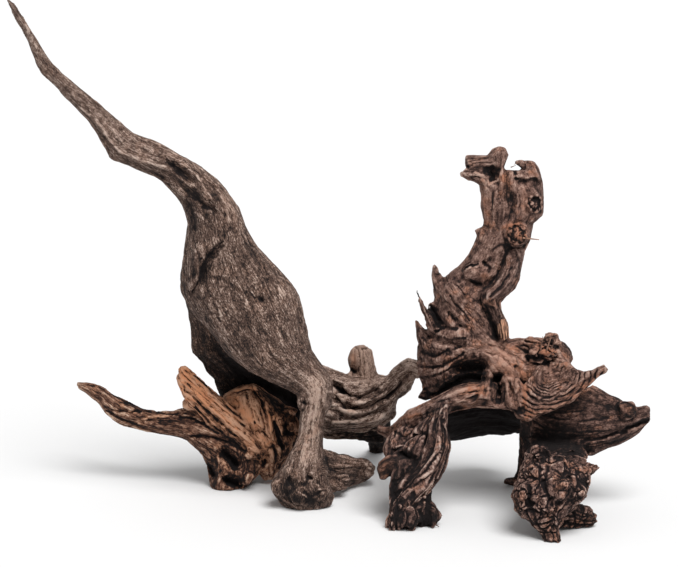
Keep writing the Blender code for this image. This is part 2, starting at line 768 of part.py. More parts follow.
def apply_modifier(thing, kind, **settings):
    """Adds a modifier and applies it."""
    modifier = thing.modifiers.new(kind, kind)
    for key, value in settings.items():
        setattr(modifier, key, value)
    bpy.ops.object.select_all(action="DESELECT")
    thing.select_set(True)
    bpy.context.view_layer.objects.active = thing
    bpy.ops.object.modifier_apply(modifier=modifier.name)


def read_points(thing):
    """The vertices and their normals as arrays."""
    mesh = thing.data
    points = np.empty(len(mesh.vertices) * 3)
    mesh.vertices.foreach_get("co", points)
    normals = np.empty(len(mesh.vertices) * 3)
    mesh.vertices.foreach_get("normal", normals)
    return points.reshape(-1, 3), normals.reshape(-1, 3)


def write_points(thing, points):
    """Moves the vertices."""
    thing.data.vertices.foreach_set("co", points.ravel())
    thing.data.update()


def stroke_distance(spots, line):
    """How far each spot is from a line of grid points, in squares."""
    best = np.full(len(spots), 1.0e9)
    for start, end in zip(line[:-1], line[1:]):
        a = np.array(start, dtype=float)
        b = np.array(end, dtype=float)
        along = np.clip((spots - a) @ (b - a) / ((b - a) @ (b - a)), 0, 1)
        near = a + along[:, None] * (b - a)
        best = np.minimum(best, np.linalg.norm(spots - near, axis=1))
    return best


def press_strokes(thing, strokes):
    """Cuts grooves and pits and raises ridges on the face that looks at the viewer."""
    points, normals = read_points(thing)
    spots = to_grid(points)
    facing = np.clip(-(normals @ AWAY) * 1.6 - 0.1, 0, 1)
    move = np.zeros(len(points))
    for line, width, height in strokes:
        distance = stroke_distance(spots, line)
        bump = np.exp(-((distance / width) ** 2)) * height * SQUARE
        move = np.where(np.abs(bump) > np.abs(move), bump, move)
    write_points(thing, points - AWAY * (move * facing)[:, None])


def raise_lumps(thing, seed, knobbly):
    """Adds soft lumps all over, and tighter ones on the burl."""
    points, normals = read_points(thing)
    shift = Vector((seed * 3.7, seed * 1.3, seed * 2.1))
    spots = to_grid(points)
    burl = (spots[:, 0] > 505) & (spots[:, 1] > 444) & (points[:, 1] < 90 * SQUARE)
    for i in range(len(points)):
        spot = Vector(points[i])
        lump = noise.noise(spot / LUMP_SIZE + shift) * LUMP_HEIGHT
        lump += noise.noise(spot / (LUMP_SIZE / 3) + shift) * LUMP_HEIGHT * 0.5
        if knobbly and burl[i]:
            lump += abs(noise.noise(spot / 0.008 + shift)) * 0.0030 - 0.0008
        points[i] += normals[i] * lump
    write_points(thing, points)


def fuse_root(name, limbs, lumps, strokes, flutes, seed):
    """Fuses the limbs and lumps of one root and thins it to its triangle count."""
    solids = [limb_solid(key, ribs, flutes.get(key, (5, 0.03))) for key, ribs in limbs.items()]
    solids += [lump_solid("lump", lump) for lump in lumps]
    root = join(solids, name)
    apply_modifier(root, "REMESH", mode="VOXEL", voxel_size=VOXEL)
    apply_modifier(root, "SMOOTH", factor=0.5, iterations=3)
    raise_lumps(root, seed, name == "Dark")
    press_strokes(root, strokes)
    keep_largest(root)
    count = sum(len(p.vertices) - 2 for p in root.data.polygons)
    apply_modifier(root, "DECIMATE", ratio=TRIANGLES[name] / count, use_collapse_triangulate=True)
    return root


def loose_parts(thing):
    """Parts a mesh at its gaps, and returns the parts as objects."""
    bpy.ops.object.select_all(action="DESELECT")
    thing.select_set(True)
    bpy.context.view_layer.objects.active = thing
    bpy.ops.mesh.separate(type="LOOSE")
    return list(bpy.context.selected_objects)


def volume(thing):
    """The volume of a closed mesh, in cubic metres."""
    work = bmesh.new()
    work.from_mesh(thing.data)
    size = work.calc_volume(signed=True)
    work.free()
    return size


def keep_largest(thing):
    """Drops loose crumbs and closed pockets from a root."""
    work = bmesh.new()
    work.from_mesh(thing.data)
    work.verts.ensure_lookup_table()
    seen = set()
    groups = []
    for start in work.verts:
        if start.index in seen:
            continue
        group = [start]
        seen.add(start.index)
        for v in group:
            for edge in v.link_edges:
                other = edge.other_vert(v)
                if other.index not in seen:
                    seen.add(other.index)
                    group.append(other)
        groups.append(group)
    groups.sort(key=len)
    for group in groups[:-1]:
        bmesh.ops.delete(work, geom=group, context="VERTS")
    work.to_mesh(thing.data)
    work.free()


def saw_blade(cut):
    """A thin box that parts a limb."""
    left_column, left_row, right_column, right_row, near, far = cut
    depth = (near + far) / 2
    left = grid_point(left_column, left_row, depth)
    right = grid_point(right_column, right_row, depth)
    along = (right - left) / np.linalg.norm(right - left)
    side = np.cross(along, AWAY)
    side = side / np.linalg.norm(side)
    length = np.linalg.norm(right - left) / 2
    reach = (far - near) / 2 * SQUARE
    middle = (left + right) / 2
    corners = []
    for x in (-1, 1):
        for y in (-1, 1):
            for z in (-1, 1):
                corner = along * x * length + AWAY * y * reach + side * z * GAP / 2
                corners.append(middle + corner)
    faces = [(0, 1, 3, 2), (4, 6, 7, 5), (0, 4, 5, 1), (2, 3, 7, 6), (0, 2, 6, 4), (1, 5, 7, 3)]
    blade = new_object("saw_blade", corners, faces)
    face_outwards(blade)
    return blade


def cut_away(thing, cutter):
    """Takes the cutter out of the thing and removes the cutter."""
    cutter.hide_render = True
    cutter.display_type = "WIRE"
    apply_modifier(thing, "BOOLEAN", operation="DIFFERENCE", solver="EXACT", object=cutter)
    bpy.data.objects.remove(cutter, do_unlink=True)


def floor_block():
    """A block below the floor, which leaves each foot with a flat sole."""
    low = -0.08
    corners = [(x, y, z) for x in (-0.1, 0.7) for y in (-0.2, 0.5) for z in (low, 0.0)]
    faces = [(0, 1, 3, 2), (4, 6, 7, 5), (0, 4, 5, 1), (2, 3, 7, 6), (0, 2, 6, 4), (1, 5, 7, 3)]
    block = new_object("floor_block", corners, faces)
    face_outwards(block)
    return block


def swollen_copy(thing):
    """A copy that is larger by the gap on all sides."""
    mesh = thing.data.copy()
    copy = bpy.data.objects.new("swollen_copy", mesh)
    bpy.context.scene.collection.objects.link(copy)
    points, normals = read_points(copy)
    write_points(copy, points + normals * GAP * 1.4)
    return copy


def wood_material(name, colour):
    """Plain wood in one colour."""
    material = bpy.data.materials.new(name)
    material.use_nodes = True
    shader = material.node_tree.nodes["Principled BSDF"]
    shader.inputs["Base Color"].default_value = (*colour, 1.0)
    shader.inputs["Roughness"].default_value = 0.85
    material.diffuse_color = (*colour, 1.0)
    return material


def thin_out(thing):
    """Drops the slivers left by the saw cuts and sets the soles flat on the floor."""
    apply_modifier(thing, "DECIMATE", ratio=KEEP, use_collapse_triangulate=True)
    points, _ = read_points(thing)
    points[np.abs(points[:, 2]) < SOLE, 2] = 0.0
    write_points(thing, points)


def tidy_mesh(thing):
    """Makes plain triangles of the faces and drops slivers that have no area."""
    work = bmesh.new()
    work.from_mesh(thing.data)
    bmesh.ops.triangulate(work, faces=work.faces[:])
    bmesh.ops.dissolve_degenerate(work, edges=work.edges[:], dist=1.0e-6)
    bmesh.ops.triangulate(work, faces=work.faces[:])
    work.to_mesh(thing.data)
    work.free()


def name_parts(parts, names, material_colour):
    """Names each part after the nearest of the given points, largest parts first."""
    big = [part for part in parts if volume(part) > CRUMB]
    for part in parts:
        if part not in big:
            bpy.data.objects.remove(part, do_unlink=True)
    free = dict(names)
    order = []
    for part in big:
        points, _ = read_points(part)
        for name, spot in free.items():
            near = np.linalg.norm(points - grid_point(*spot), axis=1).min()
            order.append((near, name, part))
    order.sort(key=lambda entry: entry[0])
    taken = set()
    for near, name, part in order:
        if name in taken or part.name in taken:
            continue
        thin_out(part)
        part.name = name
        part.data.name = name
        taken.add(name)
        part.data.materials.clear()
        part.data.materials.append(wood_material(name + "_wood", material_colour))
    if len(taken) != len(names) or len(big) != len(names):
        raise RuntimeError("the pieces and their names differ in number")


def centre_on_floor(things):
    """Moves everything so that the middle of the bounding box's underside is the origin."""
    points = np.concatenate([read_points(thing)[0] for thing in things])
    low, high = points.min(axis=0), points.max(axis=0)
    shift = np.array([(low[0] + high[0]) / 2, (low[1] + high[1]) / 2, low[2]])
    for thing in things:
        own, _ = read_points(thing)
        write_points(thing, own - shift)


def build():
    """Makes the three roots, parts them and names the pieces."""
    clear_scene()
    grey_flutes = {
        "horn_and_trunk": (5, 0.03),
        "rear_mass": (9, 0.03),
        "side_branch": (6, 0.06),
        "side_root": (6, 0.05),
    }
    tan_flutes = {"arm": (7, 0.07), "plank": (9, 0.06), "dome": (7, 0.04)}
    dark_flutes = {"left_arm": (7, 0.07), "leg_right_strand": (7, 0.06), "rope_strand": (6, 0.06)}
    grey = fuse_root("Grey", GREY_LIMBS, GREY_LUMPS, GREY_STROKES, grey_flutes, 1)
    tan = fuse_root("Tan", TAN_LIMBS, TAN_LUMPS, TAN_STROKES, tan_flutes, 2)
    dark = fuse_root("Dark", DARK_LIMBS, DARK_LUMPS, DARK_STROKES, dark_flutes, 3)
    cut_away(tan, swollen_copy(grey))
    cut_away(dark, swollen_copy(grey))
    jobs = [
        (grey, GREY_CUTS, GREY_NAMES, COLOURS["Grey"]),
        (tan, TAN_CUTS, TAN_NAMES, COLOURS["Tan"]),
        (dark, DARK_CUTS, DARK_NAMES, COLOURS["Dark"]),
    ]
    for root, cuts, names, colour in jobs:
        cut_away(root, floor_block())
        whole = volume(root)
        for cut in cuts:
            cut_away(root, saw_blade(cut))
        if volume(root) < whole * 0.99:
            raise RuntimeError("a saw cut took away a limb of " + root.name)
        tidy_mesh(root)
        name_parts(loose_parts(root), names, colour)
    centre_on_floor([thing for thing in bpy.data.objects if thing.type == "MESH"])


build()
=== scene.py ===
"""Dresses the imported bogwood: three weathered roots that lock together.

Each root is a fused copy of its solids. Limb by limb it gets lengthwise ribs, fine grain and
cracks that follow the limb, then grooves, ridges and marks at their own places.

Places on the wood are given on a drawing grid, as seen from the front and a little above.
Columns run to the right and rows run down. Depth runs away from the viewer.
"""

from math import cos, pi, radians, sin

import bpy
import numpy as np
from bpy.props import FloatProperty, FloatVectorProperty, IntProperty, PointerProperty
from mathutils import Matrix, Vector
from mathutils.bvhtree import BVHTree


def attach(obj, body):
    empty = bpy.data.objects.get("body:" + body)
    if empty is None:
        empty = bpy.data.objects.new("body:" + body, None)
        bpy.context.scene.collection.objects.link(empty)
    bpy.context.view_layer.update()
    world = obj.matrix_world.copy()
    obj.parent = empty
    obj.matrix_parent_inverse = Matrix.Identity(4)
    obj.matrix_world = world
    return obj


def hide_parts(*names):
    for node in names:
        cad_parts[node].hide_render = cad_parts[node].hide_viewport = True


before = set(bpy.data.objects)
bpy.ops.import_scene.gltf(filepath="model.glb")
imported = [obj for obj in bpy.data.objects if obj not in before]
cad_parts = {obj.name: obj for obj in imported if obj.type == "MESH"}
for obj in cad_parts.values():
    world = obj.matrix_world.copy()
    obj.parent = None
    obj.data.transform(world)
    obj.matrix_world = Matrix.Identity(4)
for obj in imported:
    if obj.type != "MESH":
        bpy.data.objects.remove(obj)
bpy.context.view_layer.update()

bl_info = {
    "name": "Bogwood",
    "version": (1, 0, 0),
    "blender": (4, 5, 0),
    "location": "3D View > Sidebar > Bogwood",
    "description": "Weathers the three roots of a piece of bogwood and sets its stage",
    "category": "Object",
}

SQUARE = 0.0007  # one square of the drawing grid, in metres
TILT = radians(16.0)  # how far the drawing looks down on the wood
FLOOR_ROW = 544.0  # the row where the floor meets the front plane
MIDDLE_X = 0.23190  # the frame's origin on the grid, in metres from column 0
MIDDLE_Y = 0.12213  # and from depth 0
AWAY = np.array([0.0, cos(TILT), -sin(TILT)])  # straight away from the viewer
VIEW_MIDDLE = (340.7, 283.5)  # column and row that the camera looks at
VIEW_WIDTH = 679  # squares across the view
FOCUS_HEIGHT = 0.15  # the camera's distance is measured from here, over the origin
FLOOR_SIZE = 8.0  # width and depth of the floor
FLOOR_DROP = 0.0002  # how far the floor lies below the soles
SUN_PLACE = (0.3, -0.55, 1.0)  # the main light comes from here, a little to the right
SUN_WIDTH = radians(35.0)  # how wide it looks, for soft shadows

# The fused skins.
MERGE = 1.0e-6  # corners of the solids closer than this are one, in metres
SMOOTH_IN, SMOOTH_OUT = 0.6, -0.62  # pulls of one round of smoothing, inwards and back
CUT_ANGLE = radians(75.0)  # edges sharper than this stay sharp, such as those of a cut
BATCH = 20000  # vertices that are measured at a time

# The grain. Cells of noise are in metres: two widths across the grain and a length along it.
STEP = 0.0015  # spacing of the samples along a limb's middle line
MEAN_RADIUS = 20.0  # a limb of this half width keeps the grain at its true width, in squares
BLEND = 0.0025  # how softly one limb's grain passes into the next
FAINT = 0.03  # a limb with less weight than this adds no relief
LIMB_SHIFT = 0.31  # how far each limb's grain is shifted, in metres, so that no two are alike
WAVES = (0.014, 0.014, 0.04)  # cells of the grain's wandering
CRACKED = (0.012, 0.012, 0.03)  # cells of the cracked patches
RIBBED = (0.016, 0.016, 0.05)  # cells of the patches with strong ribs
CRACK_WIDTH = 0.07  # widths of cracks and of the valleys between ribs, as heights of the noise
VALLEY_WIDTH = 0.11
MINOR_WIDTH = 0.12
LUMP_WIDTHS = (0.013, 0.006)  # broad and small lumps, in metres
PIT_WIDTH = 0.0027
PIT_SHARE = 0.35  # height and darkness of the pits, beside those of the lumps
HOLLOW_ROUNDS = 10  # rounds of averaging that show what is a hollow
HOLLOW_DEPTH = 0.0006  # a hollow this deep is darkened fully, with grime and painted shade, and a ridge this high gets a full painted highlight
PAINTED_SHADE_TONE = -0.5  # limbs below this tone are darkened as painted shade, less so at the back

# Shelter from the light, painted into the colour as shade.
RAYS = 12  # rays from a vertex, which measure how sheltered it is
RAY_STEP = 4  # one vertex in this many is measured
RAY_START = 0.0022  # a ray starts this far off the skin
RAY_LENGTH = 0.07  # what stands further off gives no shelter
RAY_LEAN = 1.02  # how strongly the rays lean outwards
RAY_SEED = 7  # gives the same rays each time
SHELTER_ROUNDS = 7  # rounds of averaging over the vertices that weren't measured

# Strokes and the dark root's own forms, on the grid unless it says metres.
RAGGED = 1.0  # how far the edge of a drawn stroke strays
STRAY_WIDTHS = (6.0, 2.4)  # widths of its large and small turns
PATCHY_WIDTH = 4.0  # width of the places where a stroke is stronger or weaker
BLOCK = 0.0078  # width of the blocks of the burl, in metres
BLOCK_STEP = 0.0009  # how far one block stands above another, in metres
BLOCK_CRACK = 0.0017  # depth of the cracks between them, in metres
CHIP_STEP = 0.0003  # height of the chips on the blocks, and depth between them, in metres
CHIP = 0.45  # width of the chips over that of the blocks
BLOCK_STRAY = 0.004  # how far the cracks stray, in metres
SHELL_MIDDLE = (549.0, 372.0)  # where the shell's rings start, column and row
RING_STRETCH = 1.15  # width of the rings over their height
RING_START, RING_GROWTH, RING_GAP = 1.7, 0.09, 0.085  # the rings lie further apart outwards
KNOT_RAYS = 9  # rays round a knot
KNOT_RIM = (0.78, 0.16)  # place and width of a knot's rim, over its radius
KNOT_MOAT = (0.48, 0.13)  # and of the moat inside it

# The finish.
WOOD_STOPS = (0.0, 0.26, 0.5, 0.76, 1.0)  # shades of the char, dark, middle, light and pale colours
RAW_STOPS = (0.0, 0.3, 0.6, 1.0)  # shades of raw wood, from char to bright
FIBRE_RUN = 18  # length of a fibre over its width
STREAK_WIDTH, STREAK_RUN = 4, 60  # width and length of a streak, in fibre widths
PATCH, BLOTCH = 0.028, 0.009  # widths of patches and blotches of colour, in metres
PATCH_SHARE, TONE_SHARE = 0.45, 0.6  # how strongly patches and the drawn tones show
DEEPER, BRIGHTER = 0.24, 1.75  # raw wood's dark and bright colours, over its own
MATT, POLISH = 0.92, 0.25  # roughness of dark wood, and how much smoother pale wood is
REFLECTION = 0.3  # strength of the reflections
BUMP_DEPTH = 0.0014  # depth of the finest relief, in metres
SPLINTER_FIBRE = (0.0007, 0.006)  # width and length of a splinter's fibres, in metres
SPLINTER_PATCH = 0.012  # width of its patches of colour, in metres

GREY_SEED, TAN_SEED, DARK_SEED = 100, 200, 300  # each root's own noise

# The parts of each root's skin, with the solids that each part stands for. The first is what the
# cuts leave.
GREY_PARTS = {
    "Grey_root_lower_skin": [
        "Grey_root_front_leg", "Grey_root_side_root", "Grey_root_rear_wall", "Grey_root_rear_mass",
        "Grey_root_side_branch", "Grey_root_upright_stub", "Grey_root_rear_leg",
    ],
    "Grey_root_upper_skin": ["Grey_root_tall_horn", "Grey_root_trunk"],
}
TAN_PARTS = {
    "Tan_root_skin": ["Tan_root_long_arm", "Tan_root_slanting_plank", "Tan_root_base"],
}
DARK_PARTS = {
    "Dark_root_left_skin": ["Dark_root_left_arm", "Dark_root_middle_leg", "Dark_root_rear_wall"],
    "Dark_root_upper_skin": ["Dark_root_broken_top", "Dark_root_trunk"],
    "Dark_root_right_skin": [
        "Dark_root_shell", "Dark_root_right_lobe", "Dark_root_burl_foot", "Dark_root_right_leg",
    ],
}
# Cuts that part a skin: the part that is cut, and two grid points of the cut. What is above or
# to the right of the cut goes to the next part.
GREY_CUTS = [(0, (180, 372), (320, 338))]
DARK_CUTS = [(0, (425, 352), (560, 325)), (0, (502, 330), (502, 560))]

# The middle line of each limb: how strongly it is ribbed, its tone (from -1, black, to 1, pale)
# and warmth (up to 1, raw orange wood), then column, row, depth and half width of points along
# it, in squares.
GREY_LIMBS = {
    "horn_and_trunk": (0.3, 0.0, 0.0, [
        (11, 3, 150, 2), (28, 29, 151, 4), (47, 65, 152, 7), (78, 96, 151, 8), (96, 113, 150, 10),
        (124, 142, 150, 13), (149, 156, 150, 13), (181, 174, 151, 18), (198, 189, 152, 20),
        (208, 202, 154, 24), (214, 216, 156, 28), (222, 248, 160, 36), (230, 270, 163, 45),
        (240, 291, 165, 52), (249, 312, 166, 52), (259, 331, 166, 46), (270, 351, 164, 42),
        (286, 367, 161, 34), (304, 380, 157, 24), (315, 391, 153, 18), (317, 403, 150, 15),
        (313, 421, 148, 14), (310, 440, 146, 14), (306, 456, 143, 18), (303, 470, 140, 23),
        (302, 486, 137, 28), (307, 512, 136, 20),
    ]),
    "rear_wall": (0.7, -0.3, 0.3, [
        (209, 292, 182, 20), (215, 312, 190, 20), (219, 331, 199, 20), (225, 351, 213, 20),
        (242, 365, 226, 24), (260, 384, 246, 30), (266, 402, 254, 32), (267, 427, 256, 28),
        (266, 453, 252, 20), (264, 480, 252, 12),
    ]),
    "side_root": (1.0, -0.05, 0.2, [
        (318, 469, 146, 18), (336, 472, 168, 18), (352, 472, 192, 14), (374, 473, 216, 8),
    ]),
    "rear_mass_and_branch": (1.8, 0.4, 0.1, [
        (300, 394, 190, 22), (326, 399, 216, 24), (350, 402, 226, 24), (374, 396, 231, 22),
        (392, 386, 228, 18), (401, 377, 220, 15), (409, 370, 205, 12), (416, 366, 188, 10),
        (425, 369, 168, 8),
    ]),
    "under_mass": (1.2, 0.25, 0.2, [
        (316, 416, 236, 18), (340, 424, 244, 18), (366, 424, 246, 18), (392, 414, 240, 12),
    ]),
    "stub": (0.9, 0.65, 0.5, [(364, 396, 232, 17), (364, 372, 232, 14), (361, 345, 232, 8)]),
    # painted shade: its low tone darkens it under the rear mass
    "rear_leg": (0.8, -0.9, 0.0, [(372, 426, 262, 14), (376, 436, 284, 14), (380, 458, 330, 12)]),
}

TAN_LIMBS = {
    "arm": (0.7, -0.12, 0.0, [
        (77, 386, 222, 3), (88, 389, 221, 6), (100, 396, 220, 8), (112, 406, 218, 11),
        (126, 414, 216, 11), (157, 423, 211, 11), (186, 425, 207, 14), (202, 431, 205, 18),
        (220, 440, 204, 22),
    ]),
    # painted light: its high tone lifts the shadow that the grey trunk casts on it
    "plank": (1.3, 0.8, 0.6, [
        (182, 372, 186, 6), (190, 382, 187, 8), (198, 394, 189, 12), (209, 405, 191, 13),
        (222, 418, 193, 14), (238, 431, 195, 14), (252, 443, 197, 14), (266, 457, 200, 12),
    ]),
    # painted light: its high tone lifts the shade on it
    "dome": (0.5, 0.95, 0.55, [
        (252, 384, 212, 8), (252, 396, 212, 18), (257, 410, 212, 28), (264, 424, 212, 30),
        (270, 440, 212, 27), (273, 455, 212, 20), (270, 481, 214, 8),
    ]),
    # painted light: its tone is raised like the dome's
    "dome_rim": (0.5, 0.45, 0.45, [
        (222, 394, 205, 5), (238, 387, 204, 7), (253, 386, 203, 7), (266, 398, 203, 7),
        (280, 406, 206, 6),
    ]),
    "base": (0.8, -0.32, 0.0, [
        (231, 436, 208, 24), (234, 452, 208, 26), (235, 468, 207, 24), (231, 480, 206, 21),
        (229, 500, 206, 15),
    ]),
    "right_foot": (0.8, -0.15, 0.1, [
        (272, 432, 206, 12), (278, 446, 204, 12), (276, 462, 204, 11), (272, 478, 206, 10),
    ]),
}

DARK_LIMBS = {
    "trunk": (0.22, 0.12, 0.15, [
        (510, 158, 150, 16), (510, 175, 150, 24), (511, 190, 150, 26), (512, 205, 150, 26),
        (510, 220, 150, 24), (506, 232, 150, 22), (496, 255, 150, 23), (486, 278, 150, 30),
        (473, 293, 150, 32), (467, 305, 150, 32), (467, 317, 151, 35), (468, 335, 153, 40),
        (468, 352, 155, 44), (472, 370, 158, 46), (470, 395, 166, 36),
    ]),
    "top_stub": (0.6, 0.05, 0.1, [(504, 172, 148, 13), (484, 169, 146, 11), (464, 168, 143, 6)]),
    "top_fin": (0.5, 0.0, 0.0, [(533, 184, 152, 12), (532, 171, 152, 8), (520, 162, 150, 4)]),
    "rope_strand": (1.1, -0.1, 0.0, [
        (515, 246, 140, 10), (511, 268, 134, 11), (503, 286, 128, 11), (491, 297, 124, 10),
        (492, 306, 124, 9), (496, 317, 126, 8), (502, 328, 128, 7), (505, 342, 130, 6),
    ]),
    "long_spike": (0.6, 0.0, 0.1, [
        (419, 294, 132, 2), (424, 306, 133, 3), (429, 317, 135, 5), (446, 343, 146, 14),
    ]),
    "low_spike": (0.6, 0.0, 0.1, [(419, 324, 142, 2), (422, 335, 144, 5), (432, 348, 148, 12)]),
    "upper_spike": (0.5, 0.0, 0.1, [(434, 268, 150, 2), (438, 279, 150, 5), (447, 292, 151, 12)]),
    "upper_flank": (0.3, 0.0, 0.15, [
        (442, 276, 152, 10), (452, 292, 132, 13), (466, 310, 130, 16), (482, 328, 131, 16),
        (498, 344, 136, 13),
    ]),
    "middle_flank": (0.5, 0.12, 0.15, [
        (424, 324, 140, 5), (434, 334, 142, 9), (450, 342, 132, 11), (468, 346, 125, 12),
        (486, 350, 128, 12), (502, 358, 127, 13), (516, 370, 123, 12),
    ]),
    "lower_flank": (0.9, 0.05, 0.1, [
        (421, 372, 156, 7), (438, 366, 138, 11), (456, 359, 129, 11), (472, 352, 125, 10),
        (490, 348, 128, 9),
    ]),
    # painted light: its raised tone lights the shoulder
    "shoulder": (0.45, 0.34, 0.4, [
        (470, 362, 148, 30), (490, 366, 148, 34), (510, 369, 146, 35), (529, 373, 146, 34),
        (547, 378, 148, 32), (562, 386, 150, 28), (582, 402, 145, 18),
    ]),
    "shoulder_front": (0.35, 0.2, 0.4, [
        (496, 350, 131, 13), (508, 364, 124, 14), (515, 380, 118, 13), (520, 397, 106, 12),
        (525, 414, 98, 9),
    ]),
    "ears": (0.4, 0.1, 0.35, [(485, 368, 134, 6), (487, 384, 108, 6), (488, 398, 104, 4)]),
    "fibrous_stub": (1.8, 0.0, 0.4, [(528, 346, 132, 11), (545, 350, 118, 11), (558, 352, 128, 8)]),
    "rear_log": (0.4, -0.35, 0.0, [(560, 345, 170, 9), (572, 356, 166, 9)]),
    "shell": (0.6, 0.1, 0.2, [
        (534, 374, 118, 9), (536, 392, 110, 11), (548, 403, 105, 12), (568, 397, 102, 12),
        (588, 384, 102, 10), (606, 370, 99, 5),
    ]),
    "right_lobe": (0.35, -0.25, 0.1, [
        (532, 417, 152, 20), (558, 423, 141, 26), (592, 421, 140, 27), (620, 422, 140, 22),
        (647, 417, 140, 9), (653, 415, 140, 4),
    ]),
    # painted shade: its low tone darkens it under the shell and the lobe
    "neck": (0.5, -0.6, 0.0, [(558, 444, 126, 18), (558, 450, 112, 20), (556, 457, 90, 24)]),
    "burl": (0.2, -0.1, 0.05, [
        (547, 452, 74, 26), (551, 465, 60, 30), (551, 480, 50, 34), (549, 494, 44, 34),
        (544, 510, 38, 27), (546, 526, 32, 16), (553, 549, 18, 9),
    ]),
    "right_spur": (0.5, 0.1, 0.3, [(566, 469, 56, 14), (584, 471, 58, 10), (599, 467, 60, 4)]),
    "rear_foot": (0.8, -0.4, 0.1, [(559, 513, 56, 15), (578, 516, 64, 14), (597, 517, 68, 6)]),
    # painted shade: its low tone darkens it under the lobe
    "right_leg": (0.8, -0.7, 0.0, [
        (532, 412, 158, 13), (530, 428, 176, 11), (529, 446, 196, 9), (526, 480, 220, 10),
    ]),
    "left_spur": (0.6, -0.4, 0.0, [(530, 484, 214, 9), (507, 483, 206, 3)]),
    # painted shade: its very low tone blackens the inside of the arch
    "rear_skirt": (0.7, -1.3, 0.0, [
        (446, 415, 185, 20), (466, 412, 200, 24), (506, 410, 204, 24), (526, 409, 190, 20),
    ]),
    "left_arm": (0.8, 0.3, 0.35, [
        (522, 396, 122, 14), (498, 396, 116, 14), (479, 394, 112, 13), (455, 398, 111, 13),
        (434, 409, 116, 12), (416, 421, 128, 13), (402, 430, 150, 12), (390, 433, 176, 9),
        (379, 430, 196, 7),
    ]),
    "leg_right_strand": (2.1, -0.3, -0.5, [
        (445, 403, 104, 6), (442, 417, 98, 8), (441, 432, 92, 10), (440, 447, 86, 12),
        (432, 464, 80, 14), (423, 480, 75, 15), (411, 495, 71, 13), (403, 508, 69, 12),
        (400, 520, 68, 13), (400, 534, 69, 12),
    ]),
    "leg_left_strand": (1.7, -0.4, -0.3, [
        (432, 417, 108, 9), (422, 434, 103, 12), (415, 450, 96, 14), (408, 466, 89, 13),
        (402, 483, 83, 11), (400, 499, 79, 9), (398, 516, 77, 9),
    ]),
    # painted shade: its low tone darkens the leg's foot
    "leg_foot_strand": (1.6, -0.7, -0.4, [
        (430, 474, 85, 10), (424, 487, 81, 9), (422, 501, 78, 11), (425, 514, 76, 14),
        (422, 524, 76, 13), (419, 533, 77, 10),
    ]),
    "leg_strands": (0.9, -0.1, 0.1, [(404, 428, 128, 11), (400, 439, 116, 12), (401, 465, 96, 11)]),
    # its low tone is partly painted shade
    "leg_stub": (0.6, -0.4, 0.45, [(408, 461, 90, 10), (391, 466, 92, 9), (379, 472, 92, 5)]),
}

